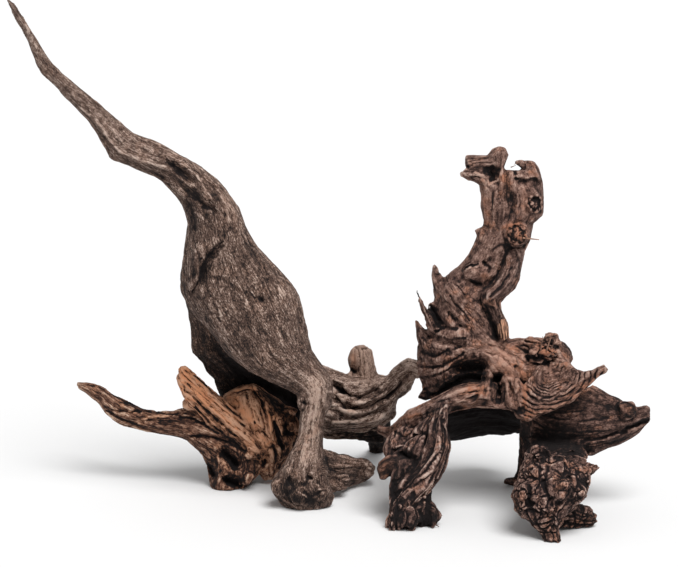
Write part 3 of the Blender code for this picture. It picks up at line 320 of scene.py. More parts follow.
# Strokes on the face that looks at the viewer, in groups: half width and height in squares
# (grooves below zero, ridges above), tone, warmth, and the lines as grid points. A line of one
# point is a dot.
GREY_STROKES = [
    # pale ridges, partly paler wood and partly painted highlight
    (1.2, 0.9, 0.5, 0.0, [
        [(30, 27), (41, 50)],
        [(84, 110), (100, 122), (113, 141), (121, 152), (150, 163), (170, 168)],
        [(183, 163), (192, 170), (198, 176), (204, 184), (209, 193), (215, 202), (221, 212)],
        [(197, 212), (203, 216), (208, 222)],
        [(201, 243), (194, 250), (190, 259), (188, 270), (188, 280), (191, 289)],
        [(213, 298), (219, 306), (223, 316)],
        [(213, 325), (225, 340), (236, 352), (247, 366), (262, 379), (285, 390)],
        [(330, 452), (345, 458), (362, 462), (372, 470)],
        [(336, 397), (348, 402), (362, 400), (378, 391), (392, 379)],
        [(344, 374), (360, 378), (376, 379)],
    ]),
    # soft dark grooves, darkened with grime and painted shade
    (1.5, -1.2, -0.3, 0.0, [
        [(59, 70), (61, 74)], [(227, 232), (235, 228)], [(226, 215), (226, 238)],
        [(250, 243), (262, 262), (272, 279), (280, 293)], [(209, 320), (216, 330), (223, 342)],
        [(205, 298), (212, 312), (222, 322)], [(301, 305), (302, 318), (307, 334)],
        [(322, 400), (325, 415), (322, 440), (321, 458)], [(332, 380), (346, 386), (360, 389)],
        [(334, 372), (345, 376), (360, 379), (378, 379), (392, 374), (402, 366)],
        [(372, 388), (386, 383), (398, 374), (408, 366)], [(338, 404), (350, 408), (362, 406)],
        [(370, 402), (384, 392), (398, 384)], [(336, 416), (348, 414), (358, 418)],
        [(364, 412), (378, 406), (386, 400)], [(362, 424), (374, 420), (384, 422)],
    ]),
    # charred wood
    (6.0, -1.2, -0.6, 0.0, [
        [(175, 167), (186, 178), (192, 190)], [(193, 192), (200, 203), (212, 210)],
        [(190, 206), (195, 218), (196, 226)],
    ]),
    # black ridges in the charred wood
    (3.0, 0.5, -0.7, 0.0, [
        [(182, 172), (186, 178)], [(198, 196), (206, 207)], [(216, 196), (218, 200)],
    ]),
    # bare, pale ridges in the charred wood
    (2.4, 0.8, 0.75, 0.3, [
        [(192, 183), (196, 187)], [(183, 190), (186, 194)], [(203, 205), (208, 203)],
    ]),
    # slits and holes, blackened with painted shade
    (1.6, -2.8, -0.9, 0.0, [
        [(213, 253), (207, 260), (205, 267)], [(334, 386), (342, 391), (352, 397), (360, 399)],
        [(304, 402), (307, 404)], [(309, 477), (312, 479)], [(354, 370), (357, 372)], [(175, 166)],
        [(262, 299), (264, 301)],
    ]),
    # the long slit beside the bark flap, painted shadow under the flap
    (0.9, -1.8, -0.7, 0.0, [
        [(224, 242), (215, 250), (207, 261), (203, 275), (199, 284), (194, 291)],
    ]),
    # shallow dark dents
    (3.4, -1.0, -0.35, 0.0, [[(263, 300)], [(272, 280)], [(198, 262), (196, 274)], [(232, 229)]]),
    # painted shadow in the hollow beside the bark flap
    (4.5, -1.6, -0.4, 0.0, [[(216, 252), (210, 264), (206, 276)]]),
    # painted shade: black hollows under the trunk and under the rear mass
    (7.5, -4.0, -1.0, 0.0, [
        [(224, 348), (234, 366), (246, 378), (268, 388), (288, 396), (297, 410)],
        [(334, 434), (352, 436), (372, 435), (390, 436)],
    ]),
    # the raised bark flap
    (6.0, 2.4, -0.1, 0.0, [[(197, 252), (196, 264), (197, 276), (194, 284)]]),
    # a small ring on the flap
    (1.3, -1.1, -0.6, 0.0, [[(199, 255), (203, 259), (200, 263), (196, 260), (199, 255)]]),
    # small pale knobs
    (2.2, 0.8, 0.45, 0.3, [
        [(187, 184), (194, 189)], [(248, 303)], [(279, 290), (292, 296)], [(299, 300), (301, 306)],
    ]),
    # lighter, warmer patches
    (6.0, 0.0, 0.2, 0.3, [
        [(226, 192), (227, 206), (226, 222)], [(234, 206), (240, 226)], [(288, 288), (299, 310)],
        [(406, 368), (416, 372)],
    ]),
    # painted light on the pale front of the leg
    (10.0, 0.0, 0.8, 0.4, [[(316, 384), (318, 405), (312, 430), (307, 456)]]),
    # the warm side of the stub
    (5.0, 0.0, 0.55, 0.5, [[(353, 352), (355, 362)]]),
    # the horn, a little lighter
    (10.0, 0.0, 0.26, 0.0, [[(28, 29), (78, 96), (124, 142), (150, 156)]]),
    # painted shade on the trunk's left side
    (9.0, 0.0, -0.22, 0.0, [[(194, 296), (202, 330), (206, 350)]]),
    # painted shade on the front foot's underside
    (8.0, 0.0, -0.7, 0.0, [[(280, 491), (300, 500), (322, 496)]]),
    # its pale facets
    (5.0, 0.0, 0.3, 0.4, [[(290, 468), (296, 474)], [(340, 466), (356, 466)]]),
    # their rim
    (2.0, 0.9, 0.25, 0.1, [[(281, 481), (288, 478)], [(311, 482), (321, 474)]]),
    # grooves across the foot, darkened with grime and painted shade
    (1.4, -1.8, -0.6, 0.0, [[(284, 484), (294, 486)], [(304, 488), (312, 498), (322, 490)]]),
    # painted shade in the black gap beside the side root
    (2.4, -2.6, -1.0, 0.0, [[(327, 458), (328, 466), (331, 470)]]),
    # painted shade on the dark side of the horn
    (2.4, 0.0, -0.35, 0.0, [
        [(44, 58), (62, 82), (84, 108), (100, 128), (112, 150)],
        [(124, 160), (146, 170), (164, 178)],
    ]),
    # hollows in the foot, darkened with grime and painted shade
    (4.0, -2.8, -0.9, 0.1, [[(287, 480), (291, 490)], [(296, 500), (312, 502)]]),
    # knobs of the foot, ridges of the rear mass, and the stub's rim
    (1.3, 1.4, 0.5, 0.2, [
        [(299, 490), (306, 494), (312, 503)], [(284, 498), (292, 506), (302, 509)],
        [(318, 484), (324, 493)], [(330, 391), (344, 396), (358, 396)],
        [(334, 409), (350, 412), (366, 408), (380, 398)], [(352, 347), (350, 354), (353, 363)],
        [(334, 423), (350, 421), (366, 424), (382, 418)],
    ]),
    # thin grooves between these ridges, darkened with grime and painted shade
    (1.0, -1.4, -0.5, 0.0, [
        [(354, 346), (361, 350), (368, 349)], [(360, 352), (362, 362), (360, 370)],
        [(332, 401), (346, 404), (360, 402)], [(340, 419), (354, 416), (372, 414)],
    ]),
    # shade under the side branch
    (7.0, 0.0, -0.6, 0.0, [[(372, 404), (388, 400), (402, 390), (412, 380)]]),
    # painted highlight on the branch's upper edge
    (2.4, 0.4, 0.6, 0.1, [[(384, 380), (396, 370), (406, 362), (414, 362)]]),
]

TAN_STROKES = [
    # deep lengthwise grooves, darkened with grime and painted shade
    (1.1, -2.2, -0.7, 0.0, [
        [(180, 372), (196, 385), (214, 402), (230, 415), (246, 427)],
        [(179, 377), (195, 392), (212, 408), (228, 422), (246, 434)],
        [(182, 388), (196, 400), (212, 415), (228, 430), (244, 441)],
        [(186, 371), (202, 382), (216, 395), (228, 407), (243, 420)],
        [(183, 398), (198, 411), (214, 426), (230, 440), (240, 447)],
        [(190, 437), (205, 436), (215, 438), (230, 444), (246, 452)],
        [(180, 418), (195, 420), (206, 426), (218, 434)],
        [(263, 432), (272, 440), (276, 452), (274, 474)],
    ]),
    # thinner grooves, darkened with grime and painted shade
    (1.1, -1.3, -0.4, 0.0, [
        [(104, 407), (118, 411), (132, 413), (150, 412)],
        [(104, 411), (120, 416), (135, 419), (150, 421)],
        [(88, 385), (100, 389), (112, 396), (125, 403), (145, 409)],
        [(232, 394), (243, 391), (252, 390)], [(253, 386), (262, 402), (267, 416), (269, 434)],
        [(248, 404), (256, 412), (260, 424)], [(257, 384), (268, 394), (280, 404)],
        [(206, 445), (211, 455), (213, 467)], [(282, 442), (283, 456), (279, 470)],
        [(236, 400), (242, 408), (240, 416)],
    ]),
    # pale, warm ridges, partly paler wood and partly painted highlight
    (1.2, 0.8, 0.5, 0.5, [
        [(186, 378), (205, 394), (225, 411), (240, 422)],
        [(184, 383), (202, 399), (222, 417), (240, 431)],
        [(221, 392), (232, 387), (243, 384), (253, 382)], [(138, 420), (148, 418), (168, 417)],
        [(129, 412), (140, 415)], [(256, 388), (265, 403), (270, 416), (272, 432)],
        [(219, 455), (218, 474)], [(260, 436), (266, 442)],
    ]),
    # the charred end
    (11.0, -1.0, -1.0, 0.0, [[(281, 412), (288, 424), (290, 438)]]),
    # painted highlights on the glossy edges of the charred end
    (0.9, 1.0, 0.8, 0.0, [
        [(272, 424), (275, 416)], [(291, 413), (299, 418)], [(284, 444), (287, 450)],
        [(280, 420), (285, 424)], [(288, 430), (294, 434)],
    ]),
    # knobs on it
    (4.0, 3.0, 0.0, 0.0, [[(279, 415)], [(290, 421)], [(283, 431)], [(293, 436)], [(274, 408)]]),
    # dark holes in the base, blackened with painted shade
    (4.2, -5.0, -1.0, 0.0, [
        [(226, 455), (234, 463)], [(260, 458), (263, 465)], [(210, 466), (214, 475)],
        [(226, 481), (238, 483)],
    ]),
    # painted light on the dome's left half
    (7.0, 0.0, 0.45, 0.45, [[(230, 397), (240, 408), (250, 417)]]),
    # its darker right half, and the plank's lower edge
    (5.5, -0.6, -0.75, 0.2, [
        [(262, 392), (270, 408), (275, 424), (280, 440)], [(252, 428), (262, 442), (266, 452)],
        [(199, 407), (214, 422), (228, 436), (242, 449)],
    ]),
    # fine grooves of the dome and the plank, darkened with grime and painted shade
    (0.9, -1.8, -0.55, 0.0, [
        [(246, 393), (252, 408), (256, 424)], [(254, 390), (260, 404), (264, 420), (266, 436)],
        [(190, 377), (206, 391), (222, 405), (238, 417)], [(188, 384), (204, 398), (220, 413)],
    ]),
    # shade along the dome's right edge
    (8.0, 0.0, -0.6, 0.0, [[(272, 398), (281, 415), (285, 434), (284, 456)]]),
    # painted highlight on the upper edges of the plank and the dome
    (2.4, 0.5, 0.5, 0.5, [
        [(184, 376), (196, 388), (210, 401)], [(236, 391), (247, 387), (256, 390)],
    ]),
    # the base and the arm, a little darker
    (5.0, 0.0, -0.2, 0.0, [[(216, 448), (238, 452), (250, 466)], [(150, 420), (170, 424)]]),
]

DARK_STROKES = [
    # black hollows and slits, blackened with painted shade
    (1.7, -3.2, -1.0, 0.0, [
        [(516, 179), (526, 181), (537, 180)], [(486, 172), (494, 177)], [(514, 168), (516, 175)],
        [(468, 167)], [(506, 240), (511, 246), (521, 247)], [(430, 314), (436, 322), (443, 328)],
        [(473, 281), (481, 285)], [(464, 270), (470, 265), (478, 264)], [(484, 262), (490, 267)],
        [(500, 437), (484, 437), (462, 440)], [(583, 441), (600, 438), (612, 435), (627, 431)],
        [(628, 427), (640, 424), (650, 420)], [(535, 462), (541, 468)], [(526, 357), (529, 360)],
        [(516, 366)], [(398, 431), (404, 437), (411, 439)],
    ]),
    # wide black hollows of painted shade
    (5.0, -4.5, -1.0, 0.0, [
        [(434, 311), (440, 320)], [(467, 364), (483, 372)], [(468, 378), (482, 379)],
        [(494, 379), (499, 394)], [(424, 399), (440, 390), (456, 383), (468, 378)],
        [(456, 410), (480, 414), (505, 414), (524, 410)], [(402, 453), (411, 455)],
        [(395, 484), (397, 498)], [(536, 359), (548, 361)], [(544, 452), (566, 453), (588, 450)],
    ]),
    # the funnel in the broken top
    (3.0, -2.6, -0.7, 0.3, [
        [(486, 170), (499, 170)], [(489, 174), (496, 174)], [(491, 179), (493, 179)],
    ]),
    # its pale rim
    (1.1, 1.8, 1.7, 0.4, [
        [(475, 173), (483, 176), (487, 181), (490, 185), (498, 181), (502, 172)],
        [(480, 174), (487, 189)],
    ]),
    # the slit beside the rope-like strand, blackened with painted shade
    (2.8, -3.0, -0.9, 0.0, [[(486, 305), (490, 316), (494, 328), (496, 336)]]),
    # the shallow hollow down the upper trunk, darkened with grime and painted shade
    (4.0, -1.6, -0.4, 0.0, [[(508, 190), (511, 204), (510, 218)]]),
    # folds, darkened in their creases with grime and painted shade
    (1.6, -2.2, -0.55, 0.0, [
        [(440, 336), (452, 340), (466, 338)], [(450, 312), (462, 325)],
        [(437, 331), (447, 327), (458, 328)], [(423, 352), (436, 356), (448, 350), (462, 347)],
        [(421, 366), (436, 368), (450, 362), (464, 354)],
        [(423, 378), (440, 374), (456, 366), (466, 359)], [(425, 390), (440, 384), (452, 377)],
        [(504, 262), (497, 277), (485, 290), (482, 303)], [(541, 478), (546, 490), (551, 503)],
        [(522, 470), (530, 486), (528, 500)], [(566, 470), (572, 484), (570, 498)],
        [(528, 508), (545, 512), (560, 508)], [(548, 496), (556, 502), (566, 498), (570, 488)],
        [(436, 460), (428, 474), (415, 482), (402, 490)], [(404, 470), (398, 484), (402, 500)],
        [(426, 432), (428, 446), (422, 458), (408, 468)],
        [(444, 420), (445, 440), (438, 462), (424, 482)], [(414, 492), (408, 506), (410, 522)],
        [(424, 494), (420, 510), (424, 524)],
    ]),
    # thin dark grooves along the grain, darkened with grime and painted shade
    (1.0, -1.1, -0.35, 0.0, [
        [(506, 192), (509, 205), (506, 218)], [(505, 245), (508, 254), (504, 262)],
        [(515, 250), (519, 258), (516, 268)], [(512, 268), (503, 284), (491, 297)],
        [(497, 300), (500, 315), (506, 326)], [(446, 290), (458, 306), (472, 322)],
        [(456, 284), (470, 300), (484, 316)], [(424, 338), (436, 348), (452, 352)],
        [(486, 352), (504, 358), (518, 370)], [(490, 344), (508, 351), (526, 362)],
        [(498, 368), (508, 378), (514, 392)], [(425, 401), (440, 401), (458, 396), (480, 390)],
        [(440, 408), (424, 414), (402, 421)], [(430, 416), (412, 422), (390, 429)],
        [(598, 441), (612, 444), (626, 437)], [(556, 418), (584, 421), (610, 418)],
        [(552, 430), (584, 433), (612, 429)], [(530, 520), (544, 522), (556, 518)],
        [(548, 476), (545, 486), (549, 497)], [(556, 474), (565, 477), (569, 486)],
        [(553, 479), (560, 480), (563, 486)], [(532, 354), (541, 345), (549, 337)],
        [(497, 324), (504, 322), (509, 323)],
    ]),
    # broad ridges
    (4.5, 1.8, 0.08, 0.1, [
        [(446, 300), (460, 316), (476, 330)], [(456, 290), (472, 306), (488, 322)],
        [(440, 332), (452, 334), (466, 334)], [(430, 362), (448, 357), (466, 350)],
        [(430, 374), (446, 370), (462, 361)], [(470, 268), (480, 272)], [(438, 282), (446, 294)],
    ]),
    # pale edges, partly paler wood and partly painted highlight
    (1.0, 1.0, 0.35, 0.1, [
        [(518, 195), (517, 215)], [(481, 364), (484, 373)],
        [(436, 388), (446, 381), (460, 372), (465, 363), (479, 357)],
        [(482, 371), (484, 384), (482, 396)], [(490, 372), (490, 386), (487, 397)],
        [(505, 381), (504, 390)], [(512, 396), (517, 390), (519, 384)], [(540, 340), (541, 352)],
        [(553, 345), (552, 358)], [(425, 405), (440, 398), (456, 392), (470, 387), (482, 383)],
        [(455, 404), (468, 398), (482, 392)], [(530, 447), (538, 446), (545, 450)],
        [(590, 495), (575, 507), (556, 528)], [(605, 392), (618, 396), (630, 402)],
        [(602, 439), (613, 436)],
    ]),
    # painted highlights on the ridges of the glossy legs
    (0.9, 1.4, 1.1, 0.0, [
        [(439, 436), (441, 447), (436, 460), (430, 469), (422, 476)],
        [(430, 424), (438, 414), (447, 405)], [(398, 446), (406, 444), (412, 450)],
        [(434, 482), (428, 492), (418, 500)], [(404, 486), (399, 496), (404, 508)],
        [(446, 424), (450, 438)],
    ]),
    # raw, orange and reddish wood
    (2.6, 0.5, 0.4, 0.9, [
        [(502, 329), (504, 338)], [(530, 173), (537, 176)], [(504, 228), (512, 224), (519, 223)],
        [(520, 370), (524, 380), (525, 392), (526, 408), (526, 419)], [(463, 393), (472, 390)],
        [(402, 418), (420, 414)], [(556, 487)], [(562, 494)], [(576, 467), (588, 469)],
    ]),
    # reddish patches
    (5.0, 0.0, 0.0, 0.6, [
        [(506, 174), (507, 194)], [(486, 200), (488, 226)], [(484, 276), (490, 284)],
        [(476, 420), (480, 428)], [(528, 414), (552, 408), (580, 392), (600, 376)],
        [(624, 406), (634, 411)], [(512, 494), (518, 508)], [(384, 462), (388, 474)],
        [(424, 510), (428, 514)], [(534, 340), (548, 356)], [(566, 526), (582, 521), (596, 516)],
    ]),
    # the ring round the right lobe's knot
    (1.6, -1.2, -0.7, 0.2, [
        [(618, 405), (625, 402), (632, 406), (636, 413), (630, 416), (621, 412), (618, 405)],
    ]),
    # warmer stripes on the upper trunk
    (5.0, 0.0, 0.2, 0.3, [[(484, 196), (486, 210), (488, 224)], [(524, 190), (526, 212)]]),
    # painted light on the lit shoulder
    (11.0, 0.0, 0.45, 0.35, [[(488, 348), (508, 352)], [(500, 362), (516, 372)]]),
    # shade under the shell
    (9.0, 0.0, -0.2, 0.0, [[(552, 410), (580, 403), (600, 400)]]),
    # the middle leg's black foot
    (12.0, 0.0, -0.75, 0.0, [[(395, 502), (412, 517), (428, 522)]]),
    # shade between the folds and under the lobe
    (7.0, 0.0, -0.35, 0.0, [
        [(432, 354), (446, 352)], [(440, 388), (462, 374)], [(526, 440), (560, 444)],
    ]),
]

# Knots: column, row and radius in squares, tone and warmth of the rim.
KNOTS = [(517.0, 235.0, 13.0, 0.45, 0.6), (535.0, 204.0, 9.5, 0.1, 0.1)]

# Sharp tips: where each one ends, and how far back it is drawn out, in squares.
GREY_TIPS = [((10.3, 1.0, 150), 18)]
TAN_TIPS = [((77, 384, 222), 8), ((180, 368, 184), 7), ((188, 367, 184), 6)]
DARK_TIPS = [
    ((434, 267, 150), 10), ((418, 290.5, 131), 34), ((417.5, 320, 142), 9), ((430.5, 303, 140), 9),
    ((515, 162, 150), 7), ((462, 174, 139), 6), ((607, 370, 97), 8),
    ((599, 466, 60), 7), ((526, 421, 98), 7), ((553, 545, 18), 7), ((507, 482, 206), 7),
]

# Splinters and raw fibres: where each starts and ends, as column, row and depth, its half width
# at the start, in squares, and how raw and bright it is, from 0 to 1.
SPLINTERS = [
    ((513, 237, 122), (539, 240, 116), 1.4, 0.6), ((520, 163, 149), (514, 165, 146), 0.7, 0.3),
    ((511, 168, 142), (516, 166, 140), 0.6, 0.3), ((500, 320, 125), (502, 338, 123), 1.7, 1.0),
    ((502.5, 319, 123), (505, 340, 121), 1.9, 1.0), ((505, 319, 124), (507.5, 339, 122), 1.8, 0.9),
    ((507, 322, 126), (509.5, 337, 124), 1.3, 0.8), ((498.5, 321, 127), (499.5, 334, 125), 1.3, 0.7),
    ((541, 350, 113), (543, 336, 110), 0.9, 0.3), ((547, 350, 111), (552, 334, 109), 1.1, 0.4),
    ((551, 349, 112), (557, 338, 110), 0.8, 0.2), ((537, 356, 114), (534, 343, 113), 0.9, 0.1),
    ((548, 356, 110), (556, 350, 106), 0.9, 0.2), ((184, 373, 184), (181, 367.5, 183), 1.1, 0.7),
    ((414, 526, 62), (404, 533, 58), 1.2, 0.0), ((430, 520, 66), (440, 527, 62), 1.2, 0.0),
    ((398, 520, 58), (389, 525, 58), 1.3, 0.0), ((436, 506, 72), (443, 515, 70), 1.1, 0.0),
]


def to_grid(points):
    """Column, row and depth of points in metres."""
    depth = points[:, 1] + MIDDLE_Y
    up = points[:, 2] * cos(TILT) + depth * sin(TILT)
    column = (points[:, 0] + MIDDLE_X) / SQUARE
    return np.stack([column, FLOOR_ROW - up / SQUARE, depth / SQUARE], axis=1)


def from_grid(spots):
    """Points in metres of grid places."""
    spots = np.atleast_2d(np.asarray(spots, dtype=float))
    depth = spots[:, 2] * SQUARE
    up = (FLOOR_ROW - spots[:, 1]) * SQUARE
    height = (up - depth * sin(TILT)) / cos(TILT)
    return np.stack([spots[:, 0] * SQUARE - MIDDLE_X, depth - MIDDLE_Y, height], axis=1)


def corner_value(cells, seed):
    """A repeatable random value from 0 to 1 for each whole cell."""
    mixed = cells.astype(np.uint64) * np.array([73856093, 19349663, 83492791], dtype=np.uint64)
    number = mixed[:, 0] ^ mixed[:, 1] ^ mixed[:, 2] ^ np.uint64(seed * 2654435761)
    number = (number ^ (number >> np.uint64(15))) * np.uint64(2246822519)
    number = (number ^ (number >> np.uint64(13))) * np.uint64(3266489917)
    number = number ^ (number >> np.uint64(16))
    return (number & np.uint64(0xFFFFFF)).astype(float) / 0xFFFFFF


def soft_noise(spots, seed):
    """Smooth random values from -1 to 1 at spots measured in cells."""
    base = np.floor(spots)
    part = spots - base
    fade = part * part * (3.0 - 2.0 * part)
    base = base.astype(np.int64) + 100000
    total = np.zeros(len(spots))
    for corner in range(8):
        step = np.array([corner & 1, corner >> 1 & 1, corner >> 2 & 1])
        weight = np.where(step == 1, fade, 1.0 - fade).prod(axis=1)
        total += weight * corner_value(base + step, seed)
    return total * 2.0 - 1.0


def cell_noise(spots, seed):
    """Distance from the nearest of scattered points and from its cell's edge, and its number."""
    base = np.floor(spots).astype(np.int64)
    first = np.full(len(spots), 9.0)
    second = np.full(len(spots), 9.0)
    number = np.zeros(len(spots))
    for corner in range(27):
        cell = base + np.array([corner % 3, corner // 3 % 3, corner // 9]) - 1
        hashed = cell + 100000
        jitter = np.stack([corner_value(hashed, seed + k) for k in range(3)], axis=1)
        distance = np.linalg.norm(cell + jitter - spots, axis=1)
        second = np.minimum(second, np.maximum(first, distance))
        number = np.where(distance < first, corner_value(hashed, seed + 3), number)
        first = np.minimum(first, distance)
    return first, second - first, number


def ramp(values, low, high):
    """Rises smoothly from 0 at low to 1 at high."""
    part = np.clip((values - low) / (high - low), 0.0, 1.0)
    return part * part * (3.0 - 2.0 * part)


def bell(values, width):
    """1 where the values are 0, falling away over this width."""
    return np.exp(-((values / width) ** 2))


def streaks(place, width, run, seed):
    """Smooth noise in streaks of this width and length along the grain."""
    return soft_noise(place / (width, width, run), seed)


def middle_line(points):
    """Samples along a limb: place, three directions, length so far and half width."""
    rows = np.asarray(points, dtype=float)
    places = np.hstack([from_grid(rows[:, :3]), rows[:, 3:] * SQUARE])
    ends = [2 * places[0] - places[1], 2 * places[-1] - places[-2]]
    padded = np.vstack([ends[0], places, ends[1]])
    samples = []
    for i in range(1, len(padded) - 2):
        p0, p1, p2, p3 = padded[i - 1 : i + 3]
        count = max(2, int(np.linalg.norm(p2[:3] - p1[:3]) / STEP))
        for t in np.arange(count) / count:
            bend = p1 + 0.5 * t * (p2 - p0 + t * (2 * p0 - 5 * p1 + 4 * p2 - p3))
            samples.append(bend + 0.5 * t**3 * (3 * (p1 - p2) + p3 - p0))
    samples.append(padded[-2])
    samples = np.array(samples)
    along = np.gradient(samples[:, :3], axis=0)
    along /= np.linalg.norm(along, axis=1)[:, None]
    side = np.cross(along[0], AWAY)
    sides = []
    for direction in along:
        side = side - direction * (side @ direction)
        side = side / np.linalg.norm(side)
        sides.append(side)
    sides = np.array(sides)
    steps = np.linalg.norm(np.diff(samples[:, :3], axis=0), axis=1)
    length = np.concatenate([[0.0], np.cumsum(steps)])
    return samples[:, :3], along, sides, np.cross(along, sides), length, samples[:, 3]


def nearest_sample(points, places):
    """The number of the nearest place for each point, and the distance."""
    nearest = np.empty(len(points), dtype=int)
    for start in range(0, len(points), BATCH):
        some = points[start : start + BATCH]
        distance = (places**2).sum(axis=1)[None, :] - 2.0 * some @ places.T
        nearest[start : start + BATCH] = distance.argmin(axis=1)
    return nearest, np.linalg.norm(points - places[nearest], axis=1)


def grain_coordinates(points, limbs):
    """For each limb: how much it counts at each point, and the point's place in its grain."""
    fields = []
    for number, (ribbing, tone, warmth, line) in enumerate(limbs.values()):
        places, along, sides, ups, length, radius = middle_line(line)
        nearest, distance = nearest_sample(points, places)
        offset = points - places[nearest]
        narrow = np.sqrt(MEAN_RADIUS * SQUARE / radius[nearest])
        run = length[nearest] + (offset * along[nearest]).sum(axis=1)
        across = (offset * sides[nearest]).sum(axis=1) * narrow
        over = (offset * ups[nearest]).sum(axis=1) * narrow
        grain = np.stack([across, over, run + LIMB_SHIFT * number], axis=1)
        fields.append(((ribbing, tone, warmth), distance - radius[nearest], grain))
    nearest = np.min([field[1] for field in fields], axis=0)
    weights = np.array([np.exp(-(field[1] - nearest) / BLEND) for field in fields])
    weights /= weights.sum(axis=0)
    return [(field[0], weight, field[2]) for field, weight in zip(fields, weights)]


def stroke_distance(spots, line):
    """How far each spot is from a line of grid points, in squares."""
    best = np.linalg.norm(spots - np.array(line[0], dtype=float), axis=1)
    for start, end in zip(line[:-1], line[1:]):
        a = np.array(start, dtype=float)
        b = np.array(end, dtype=float)
        along = np.clip((spots - a) @ (b - a) / ((b - a) @ (b - a)), 0.0, 1.0)
        near = a + along[:, None] * (b - a)
        best = np.minimum(best, np.linalg.norm(spots - near, axis=1))
    return best


def limb_relief(fields, look, seed):
    """Height of ribs, grain and cracks at each point, and how dark they are there."""
    count = len(fields[0][1])
    height = np.zeros(count)
    shade = np.zeros(count)
    for (ribbing, _, _), weight, grain in fields:
        near = weight > FAINT
        place = grain[near]
        bend = [soft_noise(place / WAVES, seed + k) for k in (1, 2)] + [np.zeros(len(place))]
        place = place + np.stack(bend, axis=1) * look.wander
        wide, thin = look.rib_width, look.grain_width
        strand = np.abs(streaks(place, wide, wide * 9, seed + 3))
        minor = np.abs(streaks(place, wide * 0.5, wide * 7, seed + 9))
        broad = streaks(place, wide * 2.4, wide * 13, seed + 4)
        fine = streaks(place, thin, thin * 11, seed + 5)
        gap = streaks(place, wide * 1.4, wide * 9, seed + 7)
        where = ramp(soft_noise(place / CRACKED, seed + 8), 0.0, 0.4)
        strong = 0.4 + 0.9 * ramp(soft_noise(place / RIBBED, seed + 10), -0.35, 0.45)
        crack = bell(gap, CRACK_WIDTH) * where
        ribs = np.minimum(strand, 0.5) * 3.0 - 0.8 + np.minimum(minor, 0.4) * 0.9 + 0.7 * broad
        rise = ribs * ribbing * strong * look.rib_height + fine * look.grain_height
        rise -= crack * look.crack_depth * (0.4 + 0.6 * ribbing)
        height[near] += weight[near] * rise
        valley = bell(strand, VALLEY_WIDTH) + 0.5 * bell(minor, MINOR_WIDTH)
        # Cracks and the valleys between the ribs are darkened with grime and painted shade.
        grime_and_painted_shade = look.crack_tone * crack + look.valley_tone * valley * strong * min(ribbing, 1.3)
        shade[near] += weight[near] * (0.3 * fine - grime_and_painted_shade)
    return height, shade


def mesh_arrays(piece):
    """Vertices, normals and edges of a piece."""
    mesh = piece.data
    points = np.empty(len(mesh.vertices) * 3)
    mesh.vertices.foreach_get("co", points)
    normals = np.empty(len(mesh.vertices) * 3)
    mesh.vertices.foreach_get("normal", normals)
    edges = np.empty(len(mesh.edges) * 2, dtype=np.int32)
    mesh.edges.foreach_get("vertices", edges)
    return points.reshape(-1, 3), normals.reshape(-1, 3), edges.reshape(-1, 2)


def move_to(piece, points):
    """Moves the vertices of a piece, none of them below the floor."""
    points[:, 2] = np.maximum(points[:, 2], 0.0)
    piece.data.vertices.foreach_set("co", points.ravel())
    piece.data.update()


def averaged(values, edges, rounds, pull=0.5):
    """Values at the vertices, drawn towards their neighbours' mean."""
    count = len(values)
    values = values.reshape(count, -1).copy()
    links = np.bincount(edges.ravel(), minlength=count)[:, None]
    for _ in range(rounds):
        total = np.zeros_like(values)
        for k in range(values.shape[1]):
            total[:, k] += np.bincount(edges[:, 0], values[edges[:, 1], k], count)
            total[:, k] += np.bincount(edges[:, 1], values[edges[:, 0], k], count)
        values += pull * (total / links - values)
    return values


def rounded(piece, rounds):
    """Takes the facets off a piece and keeps its size."""
    points, _, edges = mesh_arrays(piece)
    for _ in range(rounds):
        points = averaged(points, edges, 1, SMOOTH_IN)
        points = averaged(points, edges, 1, SMOOTH_OUT)
    move_to(piece, points)


def select_only(piece):
    """Selects one piece and makes it active."""
    bpy.ops.object.select_all(action="DESELECT")
    piece.select_set(True)
    bpy.context.view_layer.objects.active = piece


def apply_modifier(piece, kind, **settings):
    """Adds a modifier and applies it."""
    modifier = piece.modifiers.new(kind, kind)
    for key, value in settings.items():
        setattr(modifier, key, value)
    select_only(piece)
    bpy.ops.object.modifier_apply(modifier=modifier.name)


def fused_copy(name, nodes, look):
    """One skin over a root's solids, with the saw cuts closed."""
    bpy.ops.object.select_all(action="DESELECT")
    copies = []
    for node in nodes:
        copy = bpy.data.objects.new(name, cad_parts[node].data.copy())
        bpy.context.scene.collection.objects.link(copy)
        copy.select_set(True)
        copies.append(copy)
    bpy.context.view_layer.objects.active = copies[0]
    bpy.ops.object.join()
    root = bpy.context.view_layer.objects.active
    root.name = name
    root.data.name = name
    bpy.ops.object.mode_set(mode="EDIT")
    bpy.ops.mesh.select_all(action="SELECT")
    bpy.ops.mesh.remove_doubles(threshold=MERGE)
    bpy.ops.object.mode_set(mode="OBJECT")
    apply_modifier(root, "DISPLACE", strength=look.closing, mid_level=0.0)
    apply_modifier(root, "REMESH", mode="VOXEL", voxel_size=look.detail)
    rounded(root, look.rounding)
    return root


def sharpen_tips(piece, tips):
    """Draws the ends of thin spikes out to their tips."""
    points, _, _ = mesh_arrays(piece)
    for tip, reach in tips:
        target = from_grid([tip])[0]
        end = points[np.linalg.norm(points - target, axis=1).argmin()]
        apart = np.linalg.norm(points - end, axis=1) / (reach * SQUARE)
        points = points + (target - end) * (np.clip(1.0 - apart**2, 0.0, 1.0) ** 2)[:, None]
    move_to(piece, points)


